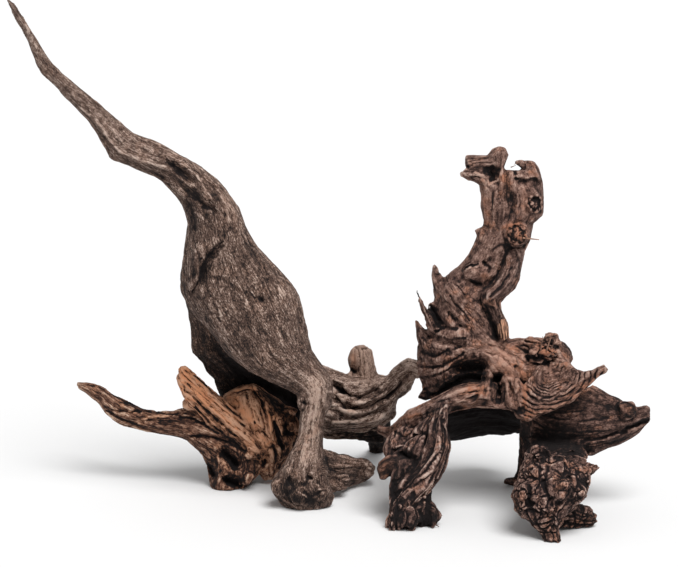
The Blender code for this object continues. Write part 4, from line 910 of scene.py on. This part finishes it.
def drawn_strokes(spots, facing, groups):
    """Height in squares, tone and warmth that the strokes give each vertex."""
    large, small = STRAY_WIDTHS
    stray = [
        soft_noise(spots / large, 61 + k) + 0.5 * soft_noise(spots / small, 64 + k) for k in (0, 1)
    ]
    strength = facing * (0.85 + 0.55 * soft_noise(spots / PATCHY_WIDTH, 67))
    spots = spots[:, :2] + np.stack(stray, axis=1) * RAGGED
    height = np.zeros(len(spots))
    tone = np.zeros(len(spots))
    warmth = np.zeros(len(spots))
    for width, rise, light, heat, lines in groups:
        for line in lines:
            rows = np.array(line, dtype=float)
            low, high = rows.min(axis=0) - 3 * width, rows.max(axis=0) + 3 * width
            near = np.flatnonzero(((spots >= low) & (spots <= high)).all(axis=1) & (facing > 0))
            if not len(near):
                continue
            touch = bell(stroke_distance(spots[near], line), width) * strength[near]
            bump = touch * rise
            height[near] = np.where(np.abs(bump) > np.abs(height[near]), bump, height[near])
            tone[near] += touch * light
            warmth[near] = np.maximum(warmth[near], touch * heat)
    return height, np.clip(tone, -1.2, 1.0), warmth


def store(piece, name, values):
    """Keeps a number or a vector at each vertex."""
    kind = "FLOAT" if values.ndim == 1 else "FLOAT_VECTOR"
    field = "value" if values.ndim == 1 else "vector"
    attribute = piece.data.attributes.new(name, kind, "POINT")
    attribute.data.foreach_set(field, values.astype(np.float32).ravel())


def burl_blocks(points, spots):
    """Height of the angular blocks of the burl, in metres, and how dark it is between them."""
    # Right of column 506, below row 442 and in front of depth 96.
    on_burl = (spots[:, 0] > 506) & (spots[:, 1] > 442) & (spots[:, 2] < 96)
    height = np.zeros(len(points))
    shade = np.zeros(len(points))
    place = points[on_burl]
    wobble = np.stack([soft_noise(place / 0.007, 71 + k) for k in range(3)], axis=1)
    place = place + wobble * BLOCK_STRAY
    _, edge, number = cell_noise(place / BLOCK, 81)
    _, small_edge, small_number = cell_noise(place / (BLOCK * CHIP), 91)
    crack = bell(edge, 0.1) * ramp(soft_noise(place / 0.008, 77), -0.5, 0.25)
    chip = bell(small_edge, 0.09)
    height[on_burl] = BLOCK_STEP * (number - 0.5) + CHIP_STEP * (small_number - 0.5)
    height[on_burl] -= BLOCK_CRACK * crack + CHIP_STEP * chip
    # the cracks and chip edges are darkened with grime and painted shade
    shade[on_burl] = 0.1 + 0.25 * (number - 0.5) - 2.0 * crack - 0.6 * chip
    fade = ramp(spots[on_burl, 1], 442, 452)
    height[on_burl] *= fade
    shade[on_burl] *= fade
    return height, shade


def shell_rings(spots, facing):
    """Growth rings on the shell-like flange: height in squares, and how dark each groove is."""
    across = (spots[:, 0] - SHELL_MIDDLE[0]) / RING_STRETCH
    down = spots[:, 1] - SHELL_MIDDLE[1]
    out = np.hypot(across, down)
    flat = np.stack([spots[:, 0], spots[:, 1], out * 0], axis=1)
    wander = soft_noise(flat / 13, 55) + 0.4 * soft_noise(flat / 5, 56)
    turns = np.log(RING_START + RING_GROWTH * (out + wander * 2.2)) / RING_GAP
    groove = (0.5 + 0.5 * np.cos(turns * 2 * pi)) ** 5
    deep = 0.15 + 0.85 * ramp(soft_noise(flat / 6, 57) + (out - 26) / 30, -0.4, 0.6)
    # The flange: out from the rings' middle and below it, in front of depth 116, above row 420
    # and right of column 518. It fades in at each of these edges.
    on_shell = ramp(out, 9, 16) * ramp(-spots[:, 2], -116, -108) * ramp(down, -6, 2)
    on_shell *= ramp(-spots[:, 1], -420, -414) * ramp(spots[:, 0], 518, 526) * facing * deep
    # the grooves are darkened with grime and painted shade
    return (0.5 - 2.4 * groove) * on_shell, (0.15 - 1.4 * groove) * on_shell


def knot_hollows(spots, facing):
    """The knots' ragged hollows: height in squares, shade, tone and warmth."""
    height, shade, tone, warmth = np.zeros((4, len(spots)))
    nodules = soft_noise(spots / 2.6, 41) + 0.5 * soft_noise(spots / 1.3, 42)
    for column, row, radius, light, heat in KNOTS:
        across = spots[:, 0] - column
        down = (spots[:, 1] - row) * 0.9
        turn = np.arctan2(down, across)
        out = np.hypot(across, down) / radius + 0.22 * soft_noise(spots / 6.0, 43) + 0.05 * nodules
        rays = np.cos(turn * KNOT_RAYS + 2.0 * soft_noise(spots / 4.0, 44))
        inside = ramp(-out, -1.0, -0.8) * facing
        rim = bell(out - KNOT_RIM[0], KNOT_RIM[1]) * inside
        moat = bell(out - KNOT_MOAT[0], KNOT_MOAT[1]) * inside
        height += inside * (0.9 * nodules + 0.5 * rays) + 1.2 * rim - 2.6 * moat
        # the moat and the knot's hollow are darkened with grime and painted shade
        shade += inside * (0.9 * nodules + 0.45 * rays - 0.3) - 1.5 * moat
        tone += light * rim
        warmth += heat * inside
    return height, shade, tone, warmth


def shelter(points, normals, edges):
    """How much of the light from all round each vertex misses, from 0 in the open to 1."""
    corners, faces = [], []
    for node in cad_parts.values():
        faces += [[len(corners) + k for k in face.vertices] for face in node.data.polygons]
        corners += [vertex.co.copy() for vertex in node.data.vertices]
    tree = BVHTree.FromPolygons(corners, faces)
    chosen = np.arange(0, len(points), RAY_STEP)
    draw = np.random.default_rng(RAY_SEED)
    missed = np.zeros(len(points))
    counted = np.zeros(len(points))
    counted[chosen] = 1.0
    starts = points[chosen] + normals[chosen] * RAY_START
    for _ in range(RAYS):
        rays = draw.normal(size=(len(chosen), 3))
        rays /= np.linalg.norm(rays, axis=1)[:, None]
        rays += normals[chosen] * RAY_LEAN
        hits = [
            tree.ray_cast(Vector(start), Vector(ray), RAY_LENGTH)[0] is not None
            for start, ray in zip(starts, rays)
        ]
        missed[chosen] += np.array(hits, dtype=float) / RAYS
    both = averaged(np.stack([missed, counted], axis=1), edges, SHELTER_ROUNDS)
    return both[:, 0] / np.maximum(both[:, 1], 1.0e-6)


def weather(piece, limbs, strokes, look, seed):
    """Cuts the relief of a root and stores what its finish needs."""
    points, normals, edges = mesh_arrays(piece)
    spots = to_grid(points)
    away = normals @ AWAY
    facing = np.clip(-away * 1.6 - 0.1, 0.0, 1.0)  # 0 at the outline and behind it
    painted_shade_strength = np.clip(0.8 - away, 0.3, 1.0)  # how strongly the darkest limbs' painted shade shows, less so at the back
    # painted shade: how sheltered each vertex is darkens its colour
    crowd = shelter(points, normals, edges)
    fields = grain_coordinates(points, limbs)
    height, shade = limb_relief(fields, look, seed)
    broad, small = LUMP_WIDTHS
    lumps = soft_noise(points / broad, seed + 11) + 0.5 * soft_noise(points / small, seed + 12)
    pits = soft_noise(points / PIT_WIDTH, seed + 13)
    height += (lumps + PIT_SHARE * pits) * look.lump_height
    shade += PIT_SHARE * pits
    pressed, tone, warmth = drawn_strokes(spots, facing, strokes)
    for (_, light, heat), weight, _ in fields:
        # Limbs below that tone are painted in shade.
        tone += light * weight * (painted_shade_strength if light < PAINTED_SHADE_TONE else 1.0)
        warmth += heat * weight
    if seed == DARK_SEED:  # it alone has a burl, a shell and knots
        blocks, between = burl_blocks(points, spots)
        rings, grooves = shell_rings(spots, facing)
        knots, grime_and_painted_shade, light, heat = knot_hollows(spots, facing)
        height += blocks
        pressed += rings + knots
        # the burl's cracks, the ring grooves and the knots' moats carry grime and painted shade
        shade += between + grooves + grime_and_painted_shade
        tone += light
        warmth += heat
    moved = points + normals * height[:, None] - AWAY * (pressed * SQUARE)[:, None]
    # The relief's curvature darkens hollows with grime and painted shade, and lightens ridges as a
    # painted highlight.
    hollow = ((moved - averaged(moved, edges, HOLLOW_ROUNDS)) * normals).sum(axis=1) / HOLLOW_DEPTH
    move_to(piece, moved)
    strongest = np.argmax([field[1] for field in fields], axis=0)
    grains = np.array([field[2] for field in fields])
    store(piece, "grain", grains[strongest, np.arange(len(points))])
    store(piece, "crowd", crowd)
    store(piece, "hollow", np.clip(shade + hollow, -2.0, 2.0))
    store(piece, "tone", tone)
    store(piece, "warmth", np.clip(warmth, 0.0, 1.0))


class Value:
    """A number in the shader. Python maths on it adds Math nodes."""

    def __init__(self, tree, socket):
        self.tree = tree
        self.socket = socket

    def maths(self, operation, *others, swap=False, clamp=False):
        """One Math node."""
        node = self.tree.nodes.new("ShaderNodeMath")
        node.operation = operation
        node.use_clamp = clamp
        terms = [*others, self] if swap else [self, *others]
        for socket, term in zip(node.inputs, terms):
            if isinstance(term, Value):
                self.tree.links.new(term.socket, socket)
            else:
                socket.default_value = term
        return Value(self.tree, node.outputs[0])

    def __add__(self, other):
        return self.maths("ADD", other)

    __radd__ = __add__

    def __sub__(self, other):
        return self.maths("SUBTRACT", other)

    def __rsub__(self, other):
        return self.maths("SUBTRACT", other, swap=True)

    def __mul__(self, other):
        return self.maths("MULTIPLY", other)

    __rmul__ = __mul__

    def between(self, low, high):
        """Rises from 0 at low to 1 at high."""
        scaled = self.maths("SUBTRACT", low).maths("MULTIPLY", 1.0 / (high - low), clamp=True)
        return scaled * scaled * (3.0 - 2.0 * scaled)


class Finish:
    """The nodes of one material."""

    def __init__(self, name):
        self.material = bpy.data.materials.new(name)
        self.material.use_nodes = True
        self.tree = self.material.node_tree
        self.shader = self.tree.nodes["Principled BSDF"]

    def node(self, kind, settings=None, **inputs):
        """Adds a node, sets its settings and then its sockets, by name or as i0, i1 and so on."""
        made = self.tree.nodes.new(kind)
        for key, value in (settings or {}).items():
            if key == "stops":
                self.set_stops(made.color_ramp, value)
            else:
                setattr(made, key, value)
        for key, value in inputs.items():
            place = int(key[1:]) if key[1:].isdigit() else key
            self.put(made.inputs[place], value)
        return made

    def put(self, socket, value):
        """Sets a socket or links it."""
        if isinstance(value, Value):
            self.tree.links.new(value.socket, socket)
        elif isinstance(value, bpy.types.NodeSocket):
            self.tree.links.new(value, socket)
        else:
            socket.default_value = value

    def set_stops(self, ramp_colours, stops):
        """Places and colours along a colour ramp, from 0 to 1."""
        ramp_colours.elements[0].color = (*stops[0][1], 1.0)
        ramp_colours.elements[1].color = (*stops[-1][1], 1.0)
        for place, tint in stops[1:-1]:
            ramp_colours.elements.new(place).color = (*tint, 1.0)

    def band(self, places, colours, shade):
        """The colour at a shade between colours at these places."""
        settings = {"stops": list(zip(places, colours))}
        return self.node("ShaderNodeValToRGB", settings, Fac=shade).outputs[0]

    def number(self, name):
        """A number kept at the vertices."""
        made = self.node("ShaderNodeAttribute", {"attribute_name": name})
        return Value(self.tree, made.outputs["Fac"])

    def noise(self, vector, width, run, detail=3.0):
        """Noise about 0 in streaks of this width and length, in metres."""
        place = self.scaled(vector, (1.0 / width, 1.0 / width, 1.0 / run))
        inputs = {"Vector": place, "Scale": 1.0, "Detail": detail, "Roughness": 0.68}
        return Value(self.tree, self.node("ShaderNodeTexNoise", **inputs).outputs[0]) - 0.5

    def scaled(self, vector, factors):
        """A vector times three factors."""
        settings = {"operation": "MULTIPLY"}
        return self.node("ShaderNodeVectorMath", settings, i0=vector, i1=factors).outputs[0]

    def blend(self, part, first, second):
        """A colour between two colours."""
        made = self.node("ShaderNodeMix", {"data_type": "RGBA"})
        self.put(made.inputs[0], part)
        for socket, tint in ((made.inputs[6], first), (made.inputs[7], second)):
            self.put(socket, (*tint, 1.0) if isinstance(tint, tuple) else tint)
        return made.outputs[2]


def wood_finish(name, look):
    """Weathered wood whose streaks follow the grain kept at the vertices."""
    finish = Finish(name)
    grain = finish.node("ShaderNodeAttribute", {"attribute_name": "grain"}).outputs["Vector"]
    place = finish.node("ShaderNodeTexCoord").outputs["Object"]
    fine = look.fibre_width
    fibre = finish.noise(grain, fine, fine * FIBRE_RUN)
    fleck = finish.noise(grain, look.fleck_width, look.fleck_width * look.fleck_run, 4.0)
    streak = finish.noise(grain, fine * STREAK_WIDTH, fine * STREAK_RUN)
    skin = finish.scaled(grain, (1.0 / look.crackle_width,) * 2 + (0.5 / look.crackle_width,))
    net = finish.node("ShaderNodeTexVoronoi", {"feature": "DISTANCE_TO_EDGE"}, Vector=skin, Scale=1.0)
    seam = 1.0 - Value(finish.tree, net.outputs["Distance"]).between(0.0, 0.16)
    patch = finish.noise(place, PATCH, PATCH)
    blotch = finish.noise(place, BLOTCH, BLOTCH)
    # the hollow number: grime and painted shade in cracks and hollows, painted highlight on ridges
    shade = 0.5 + finish.number("hollow") * look.hollow_share + streak * look.streak_share
    shade = shade + fibre * look.fibre_share + fleck * look.fleck_share + patch * PATCH_SHARE
    # painted shade in sheltered places
    shade = shade - finish.number("crowd").between(0.25, 1.0) * look.shelter_share
    seam = seam * (blotch + patch).between(-0.12, 0.15)
    shade = shade + finish.number("tone") * TONE_SHARE + blotch * look.blotch_share
    shade = shade - seam * look.crackle_share
    deep = [c * DEEPER for c in look.warm]
    bright = [min(1.0, c * BRIGHTER) for c in look.warm]
    wood_colours = (look.char, look.dark, look.middle, look.light, look.pale)
    raw_colours = (look.char, deep, look.warm, bright)
    wood = finish.band(WOOD_STOPS, wood_colours, shade)
    raw = finish.band(RAW_STOPS, raw_colours, shade)
    spread = (blotch + patch * 0.8).between(0.02, 0.2) * look.warm_share
    heat = (finish.number("warmth") + spread).maths("MINIMUM", 1.0)
    finish.put(finish.shader.inputs["Base Color"], finish.blend(heat, wood, raw))
    finish.put(finish.shader.inputs["Roughness"], MATT - shade.between(0.3, 1.0) * POLISH)
    finish.shader.inputs["Specular IOR Level"].default_value = REFLECTION
    relief = fibre * 0.7 + fleck * 0.9 + streak * 0.6 - seam * look.crackle_share
    bump = finish.node("ShaderNodeBump", Strength=look.bump, Distance=BUMP_DEPTH, Height=relief)
    finish.put(finish.shader.inputs["Normal"], bump.outputs[0])
    return finish.material


def metres(name, default, description):
    """A size that a user may change."""
    return FloatProperty(
        name=name, description=description, default=default, min=0.0, precision=5, unit="LENGTH"
    )


def amount(name, default, description):
    """How strongly something shows."""
    return FloatProperty(name=name, description=description, default=default, min=0.0, max=4.0)


def paint(name, default, description):
    """A colour that a user may change."""
    return FloatVectorProperty(
        name=name, description=description, default=default, subtype="COLOR", min=0.0, max=1.0
    )


class RootLook:
    """What all three roots share."""

    detail: metres("Detail", 0.00085, "Width of the faces of the fused skin")
    closing: metres("Closing", 0.0003, "How far the solids swell before they fuse")
    rounding: IntProperty(name="Rounding", description="Rounds of smoothing", default=8, min=0)
    wander: metres("Wander", 0.0035, "How far the grain strays to the side")
    lump_height: metres("Lump height", 0.0005, "Height of soft lumps all over")
    fibre_width: metres("Fibre width", 0.0009, "Width of the fibres in the colour")
    crackle_width: metres("Crackle width", 0.0026, "Width of the cells of the cracked skin")
    bump: amount("Bump", 0.9, "Strength of the finest relief")
    # the darkest colour: charred wood, and the painted shade in hollows and on shaded limbs
    char: paint("Crevice colour", (0.006, 0.003, 0.003), "Colour of hollows and charred wood")
    grain_width: metres("Grain width", 0.0022, "Width of the fine ridges of the grain")
    grain_height: metres("Grain height", 0.00022, "Height of the fine ridges of the grain")


# What differs from root to root: the kind of value, its name and its description.
ROOT_SETTINGS = {
    "fleck_width": (metres, "Fleck width", "Width of the short flecks in the colour"),
    "fleck_run": (amount, "Fleck run", "Length of a fleck over its width"),
    # cracks and valleys are darkened with grime and painted shade
    "crack_tone": (amount, "Crack tone", "How dark the cracks are"),
    "valley_tone": (amount, "Valley tone", "How dark it is between the ribs"),
    "blotch_share": (amount, "Blotches", "How strongly small blotches show"),
    "crackle_share": (amount, "Crackle", "How strongly the cracked skin shows"),
    "rib_width": (metres, "Rib width", "Width of the lengthwise ribs"),
    "rib_height": (metres, "Rib height", "Height of the lengthwise ribs"),
    "crack_depth": (metres, "Crack depth", "Depth of the lengthwise cracks"),
    # grime and painted shade in hollows, painted highlight on ridges
    "hollow_share": (amount, "Hollows", "How much hollows darken and ridges lighten the wood"),
    "streak_share": (amount, "Streaks", "How strongly long streaks show"),
    "fibre_share": (amount, "Fibres", "How strongly fibres show"),
    "fleck_share": (amount, "Flecks", "How strongly short flecks show"),
    # painted shade in sheltered places
    "shelter_share": (amount, "Shelter", "How much darker sheltered wood is"),
    "warm_share": (amount, "Raw patches", "How much raw wood shows"),
    "dark": (paint, "Dark colour", "Colour of the dark streaks"),
    "middle": (paint, "Middle colour", "Colour of most of the wood"),
    "light": (paint, "Light colour", "Colour of the raised grain"),
    "pale": (paint, "Pale colour", "Colour of the palest ridges"),
    "warm": (paint, "Raw colour", "Colour of raw wood"),
}


def root_settings(**defaults):
    """The properties of one root, from its own defaults."""
    made = {}
    for key, (kind, name, description) in ROOT_SETTINGS.items():
        made[key] = kind(name, defaults[key], description)
    return made


class GreyRootLook(RootLook, bpy.types.PropertyGroup):
    """Sizes and colours of the grey root."""

    __annotations__ = root_settings(
        fleck_width=0.0005, fleck_run=3.6, crack_tone=0.8, valley_tone=0.35, blotch_share=0.4,
        crackle_share=0.15, rib_width=0.0042, rib_height=0.0007, crack_depth=0.0010,
        hollow_share=0.28, streak_share=0.8, fibre_share=1.4, fleck_share=2.6,
        shelter_share=0.5, warm_share=0.35,
        dark=(0.042, 0.025, 0.019),
        middle=(0.106, 0.061, 0.045),
        light=(0.222, 0.146, 0.114),
        pale=(0.570, 0.435, 0.362),
        warm=(0.175, 0.094, 0.062),
    )


class TanRootLook(RootLook, bpy.types.PropertyGroup):
    """Sizes and colours of the tan root."""

    __annotations__ = root_settings(
        fleck_width=0.0008, fleck_run=3.0, crack_tone=1.1, valley_tone=1.0, blotch_share=0.3,
        crackle_share=0.15, rib_width=0.0040, rib_height=0.0008, crack_depth=0.0012,
        hollow_share=0.42, streak_share=1.4, fibre_share=1.3, fleck_share=1.7,
        shelter_share=0.6, warm_share=0.45,
        dark=(0.062, 0.025, 0.015),
        middle=(0.168, 0.080, 0.051),
        light=(0.350, 0.198, 0.130),
        pale=(0.600, 0.440, 0.330),
        warm=(0.370, 0.162, 0.082),
    )


class DarkRootLook(RootLook, bpy.types.PropertyGroup):
    """Sizes and colours of the dark root."""

    __annotations__ = root_settings(
        fleck_width=0.0008, fleck_run=2.0, crack_tone=1.0, valley_tone=0.65, blotch_share=0.95,
        crackle_share=0.3, rib_width=0.0046, rib_height=0.0010, crack_depth=0.0013,
        hollow_share=0.42, streak_share=0.35, fibre_share=0.7, fleck_share=1.3,
        shelter_share=0.6, warm_share=0.6,
        dark=(0.036, 0.018, 0.014),
        middle=(0.120, 0.066, 0.053),
        light=(0.265, 0.166, 0.134),
        pale=(0.480, 0.350, 0.290),
        warm=(0.215, 0.092, 0.054),
    )


class SplinterLook(bpy.types.PropertyGroup):
    """Sizes and colours of the splinters."""

    corners: IntProperty(name="Corners", description="Corners round a splinter", default=7, min=3)
    taper: amount("Taper", 0.3, "Width of the tip over that of the start")
    dark: paint("Dark colour", (0.045, 0.022, 0.016), "Colour between the fibres")
    brown: paint("Brown colour", (0.130, 0.068, 0.052), "Colour of weathered splinters")
    light: paint("Light colour", (0.740, 0.390, 0.240), "Colour of the raw fibres")


class StageLook(bpy.types.PropertyGroup):
    """The floor, the lights and the camera."""

    floor: paint("Floor colour", (0.74, 0.74, 0.74), "Colour of the floor")
    sky: amount("Sky", 0.5, "Strength of the light from all round")
    key: FloatProperty(name="Key light", description="Strength of the main light", default=3.4, min=0.0)
    lens: FloatProperty(name="Lens", description="Focal length", default=600.0, min=1.0, unit="CAMERA")


def saw(piece, place, normal, **sides):
    """Cuts a piece by a plane, closes the cut and drops one side."""
    select_only(piece)
    bpy.ops.object.mode_set(mode="EDIT")
    bpy.ops.mesh.select_all(action="SELECT")
    bpy.ops.mesh.bisect(plane_co=place, plane_no=normal, use_fill=True, **sides)
    bpy.ops.object.mode_set(mode="OBJECT")


def split_off(piece, name, first, second):
    """Parts a root by a cut along a line of the view, and names what is above or to its right."""
    start, end = from_grid([(*first, 0.0), (*second, 0.0)])
    normal = np.cross(end - start, AWAY)
    normal /= np.linalg.norm(normal)
    other = piece.copy()
    other.data = piece.data.copy()
    other.name = name
    other.data.name = name
    bpy.context.scene.collection.objects.link(other)
    saw(piece, tuple(start), tuple(normal), clear_outer=True)
    saw(other, tuple(start), tuple(normal), clear_inner=True)
    return other


def dress_root(slot, parts, cuts, limbs, strokes, tips, look, seed):
    """Makes one root's weathered skin in a few parts, and hides the solids that they stand for."""
    solids = [node for nodes in parts.values() for node in nodes]
    missing = [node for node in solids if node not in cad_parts]
    if missing:
        raise RuntimeError("the frame has no solid named " + ", ".join(missing))
    names = list(parts)
    root = fused_copy(names[0], solids, look)
    sharpen_tips(root, tips)
    weather(root, limbs, strokes, look, seed)
    root.data.materials.clear()
    root.data.materials.append(wood_finish(slot + "_finish", look))
    pieces = [root]
    for name, (source, first, second) in zip(names[1:], cuts):
        pieces.append(split_off(pieces[source], name, first, second))
    for piece, nodes in zip(pieces, parts.values()):
        select_only(piece)
        bpy.ops.object.shade_smooth_by_angle(angle=CUT_ANGLE)
        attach(piece, "root")
        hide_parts(*nodes)


def splinter_finish(look):
    """Raw wood with fine streaks."""
    finish = Finish("splinter_finish")
    place = finish.node("ShaderNodeTexCoord").outputs["Object"]
    fibre = finish.noise(place, *SPLINTER_FIBRE)
    patch = finish.noise(place, SPLINTER_PATCH, SPLINTER_PATCH)
    lit = (0.45 + fibre * 2.0 + patch * 1.2).between(0.0, 1.0)
    dark, brown, light = tuple(look.dark), tuple(look.brown), tuple(look.light)
    fresh = finish.blend(finish.number("raw"), brown, light)
    finish.put(finish.shader.inputs["Base Color"], finish.blend(lit, dark, fresh))
    finish.shader.inputs["Roughness"].default_value = 0.8
    return finish.material


def add_splinter(start, end, radius, raw, look):
    """One tapered splinter from start to end. Raw ones are brighter."""
    direction = Vector(end - start)
    bpy.ops.mesh.primitive_cone_add(
        vertices=look.corners,
        radius1=radius,
        radius2=radius * look.taper,
        depth=direction.length,
        location=Vector((start + end) / 2),
        rotation=direction.to_track_quat("Z", "Y").to_euler(),
    )
    splinter = bpy.context.view_layer.objects.active
    store(splinter, "raw", np.full(len(splinter.data.vertices), raw))
    return splinter


class BOGWOOD_OT_grey_root(bpy.types.Operator):
    """Weathers the tall grey root"""

    bl_idname = "bogwood.grey_root"
    bl_label = "Grey Root"

    def execute(self, context):
        look = context.scene.bogwood_grey
        tables = (GREY_PARTS, GREY_CUTS, GREY_LIMBS, GREY_STROKES, GREY_TIPS)
        dress_root("grey_wood", *tables, look, GREY_SEED)
        return {"FINISHED"}


class BOGWOOD_OT_tan_root(bpy.types.Operator):
    """Weathers the low tan root"""

    bl_idname = "bogwood.tan_root"
    bl_label = "Tan Root"

    def execute(self, context):
        look = context.scene.bogwood_tan
        tables = (TAN_PARTS, (), TAN_LIMBS, TAN_STROKES, TAN_TIPS)
        dress_root("tan_wood", *tables, look, TAN_SEED)
        return {"FINISHED"}


class BOGWOOD_OT_dark_root(bpy.types.Operator):
    """Weathers the gnarled dark root"""

    bl_idname = "bogwood.dark_root"
    bl_label = "Dark Root"

    def execute(self, context):
        look = context.scene.bogwood_dark
        tables = (DARK_PARTS, DARK_CUTS, DARK_LIMBS, DARK_STROKES, DARK_TIPS)
        dress_root("dark_wood", *tables, look, DARK_SEED)
        return {"FINISHED"}


class BOGWOOD_OT_splinters(bpy.types.Operator):
    """Adds the splinters and raw fibres"""

    bl_idname = "bogwood.splinters"
    bl_label = "Splinters"

    def execute(self, context):
        look = context.scene.bogwood_splinters
        bpy.ops.object.select_all(action="DESELECT")
        made = []
        for start, end, radius, raw in SPLINTERS:
            ends = from_grid([start, end])
            ends[:, 2] = np.maximum(ends[:, 2], radius * SQUARE)
            made.append(add_splinter(ends[0], ends[1], radius * SQUARE, raw, look))
        for splinter in made:
            splinter.select_set(True)
        context.view_layer.objects.active = made[0]
        bpy.ops.object.join()
        bpy.ops.object.transform_apply(location=True, rotation=True, scale=True)
        bpy.ops.object.shade_smooth_by_angle(angle=CUT_ANGLE)
        splinters = context.view_layer.objects.active
        splinters.name = "Splinters"
        splinters.data.name = "Splinters"
        splinters.data.materials.append(splinter_finish(look))
        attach(splinters, "root")
        return {"FINISHED"}


class BOGWOOD_OT_stage(bpy.types.Operator):
    """Adds the floor, the lights and the camera"""

    bl_idname = "bogwood.stage"
    bl_label = "Stage"

    def execute(self, context):
        look = context.scene.bogwood_stage
        scene = context.scene
        bpy.ops.object.select_all(action="DESELECT")
        bpy.ops.mesh.primitive_plane_add(size=FLOOR_SIZE, location=(0.0, 0.0, -FLOOR_DROP))
        floor = context.view_layer.objects.active
        floor.name = "floor"
        bpy.ops.object.transform_apply(location=True, rotation=True, scale=True)
        finish = Finish("floor_finish")
        finish.shader.inputs["Base Color"].default_value = (*look.floor, 1.0)
        finish.shader.inputs["Roughness"].default_value = 0.9
        floor.data.materials.append(finish.material)
        world = bpy.data.worlds.new("studio")
        world.use_nodes = True
        sky = world.node_tree.nodes["Background"]
        sky.inputs["Color"].default_value = (1.0, 1.0, 1.0, 1.0)
        sky.inputs["Strength"].default_value = look.sky
        scene.world = world
        sun = bpy.data.lights.new("key", "SUN")
        sun.energy = look.key
        sun.angle = SUN_WIDTH
        lamp = bpy.data.objects.new("key", sun)
        lamp.rotation_euler = Vector(SUN_PLACE).to_track_quat("Z", "Y").to_euler()
        scene.collection.objects.link(lamp)
        camera = bpy.data.cameras.new("camera")
        camera.lens = look.lens
        holder = bpy.data.objects.new("camera", camera)
        scene.collection.objects.link(holder)
        wide = VIEW_WIDTH * SQUARE
        distance = wide / 2 / (camera.sensor_width / 2 / camera.lens)
        across = VIEW_MIDDLE[0] * SQUARE - MIDDLE_X
        up = (FLOOR_ROW - VIEW_MIDDLE[1]) * SQUARE
        centre = Vector((across, up * sin(TILT) - MIDDLE_Y, up * cos(TILT)))
        depth = Vector(AWAY) * (Vector((0, 0, FOCUS_HEIGHT)) - centre).dot(Vector(AWAY))
        holder.location = centre + depth - Vector(AWAY) * distance
        holder.rotation_euler = (pi / 2 - TILT, 0.0, 0.0)
        camera.clip_start = distance * 0.1
        camera.clip_end = distance * 4
        scene.camera = holder
        scene.view_settings.view_transform = "Standard"
        return {"FINISHED"}


class BOGWOOD_PT_panel(bpy.types.Panel):
    """Lists the steps and their settings"""

    bl_label = "Bogwood"
    bl_idname = "BOGWOOD_PT_panel"
    bl_space_type = "VIEW_3D"
    bl_region_type = "UI"
    bl_category = "Bogwood"

    def draw(self, context):
        for key, step in STEPS.items():
            box = self.layout.box()
            box.operator(step)
            look = getattr(context.scene, "bogwood_" + key)
            for name in look.bl_rna.properties.keys():
                if name not in ("rna_type", "name"):
                    box.prop(look, name)


STEPS = {
    "grey": "bogwood.grey_root",
    "tan": "bogwood.tan_root",
    "dark": "bogwood.dark_root",
    "splinters": "bogwood.splinters",
    "stage": "bogwood.stage",
}
LOOKS = {
    "grey": GreyRootLook,
    "tan": TanRootLook,
    "dark": DarkRootLook,
    "splinters": SplinterLook,
    "stage": StageLook,
}
CLASSES = [
    *LOOKS.values(),
    BOGWOOD_OT_grey_root,
    BOGWOOD_OT_tan_root,
    BOGWOOD_OT_dark_root,
    BOGWOOD_OT_splinters,
    BOGWOOD_OT_stage,
    BOGWOOD_PT_panel,
]


def register():
    """Adds the classes and their settings."""
    for item in CLASSES:
        bpy.utils.register_class(item)
    for key, look in LOOKS.items():
        setattr(bpy.types.Scene, "bogwood_" + key, PointerProperty(type=look))


def unregister():
    """Takes them away again."""
    for key in LOOKS:
        delattr(bpy.types.Scene, "bogwood_" + key)
    for item in reversed(CLASSES):
        bpy.utils.unregister_class(item)


def main():
    """Runs every step."""
    register()
    bpy.ops.bogwood.grey_root()
    bpy.ops.bogwood.tan_root()
    bpy.ops.bogwood.dark_root()
    bpy.ops.bogwood.splinters()
    bpy.ops.bogwood.stage()


if __name__ == "__main__":
    main()
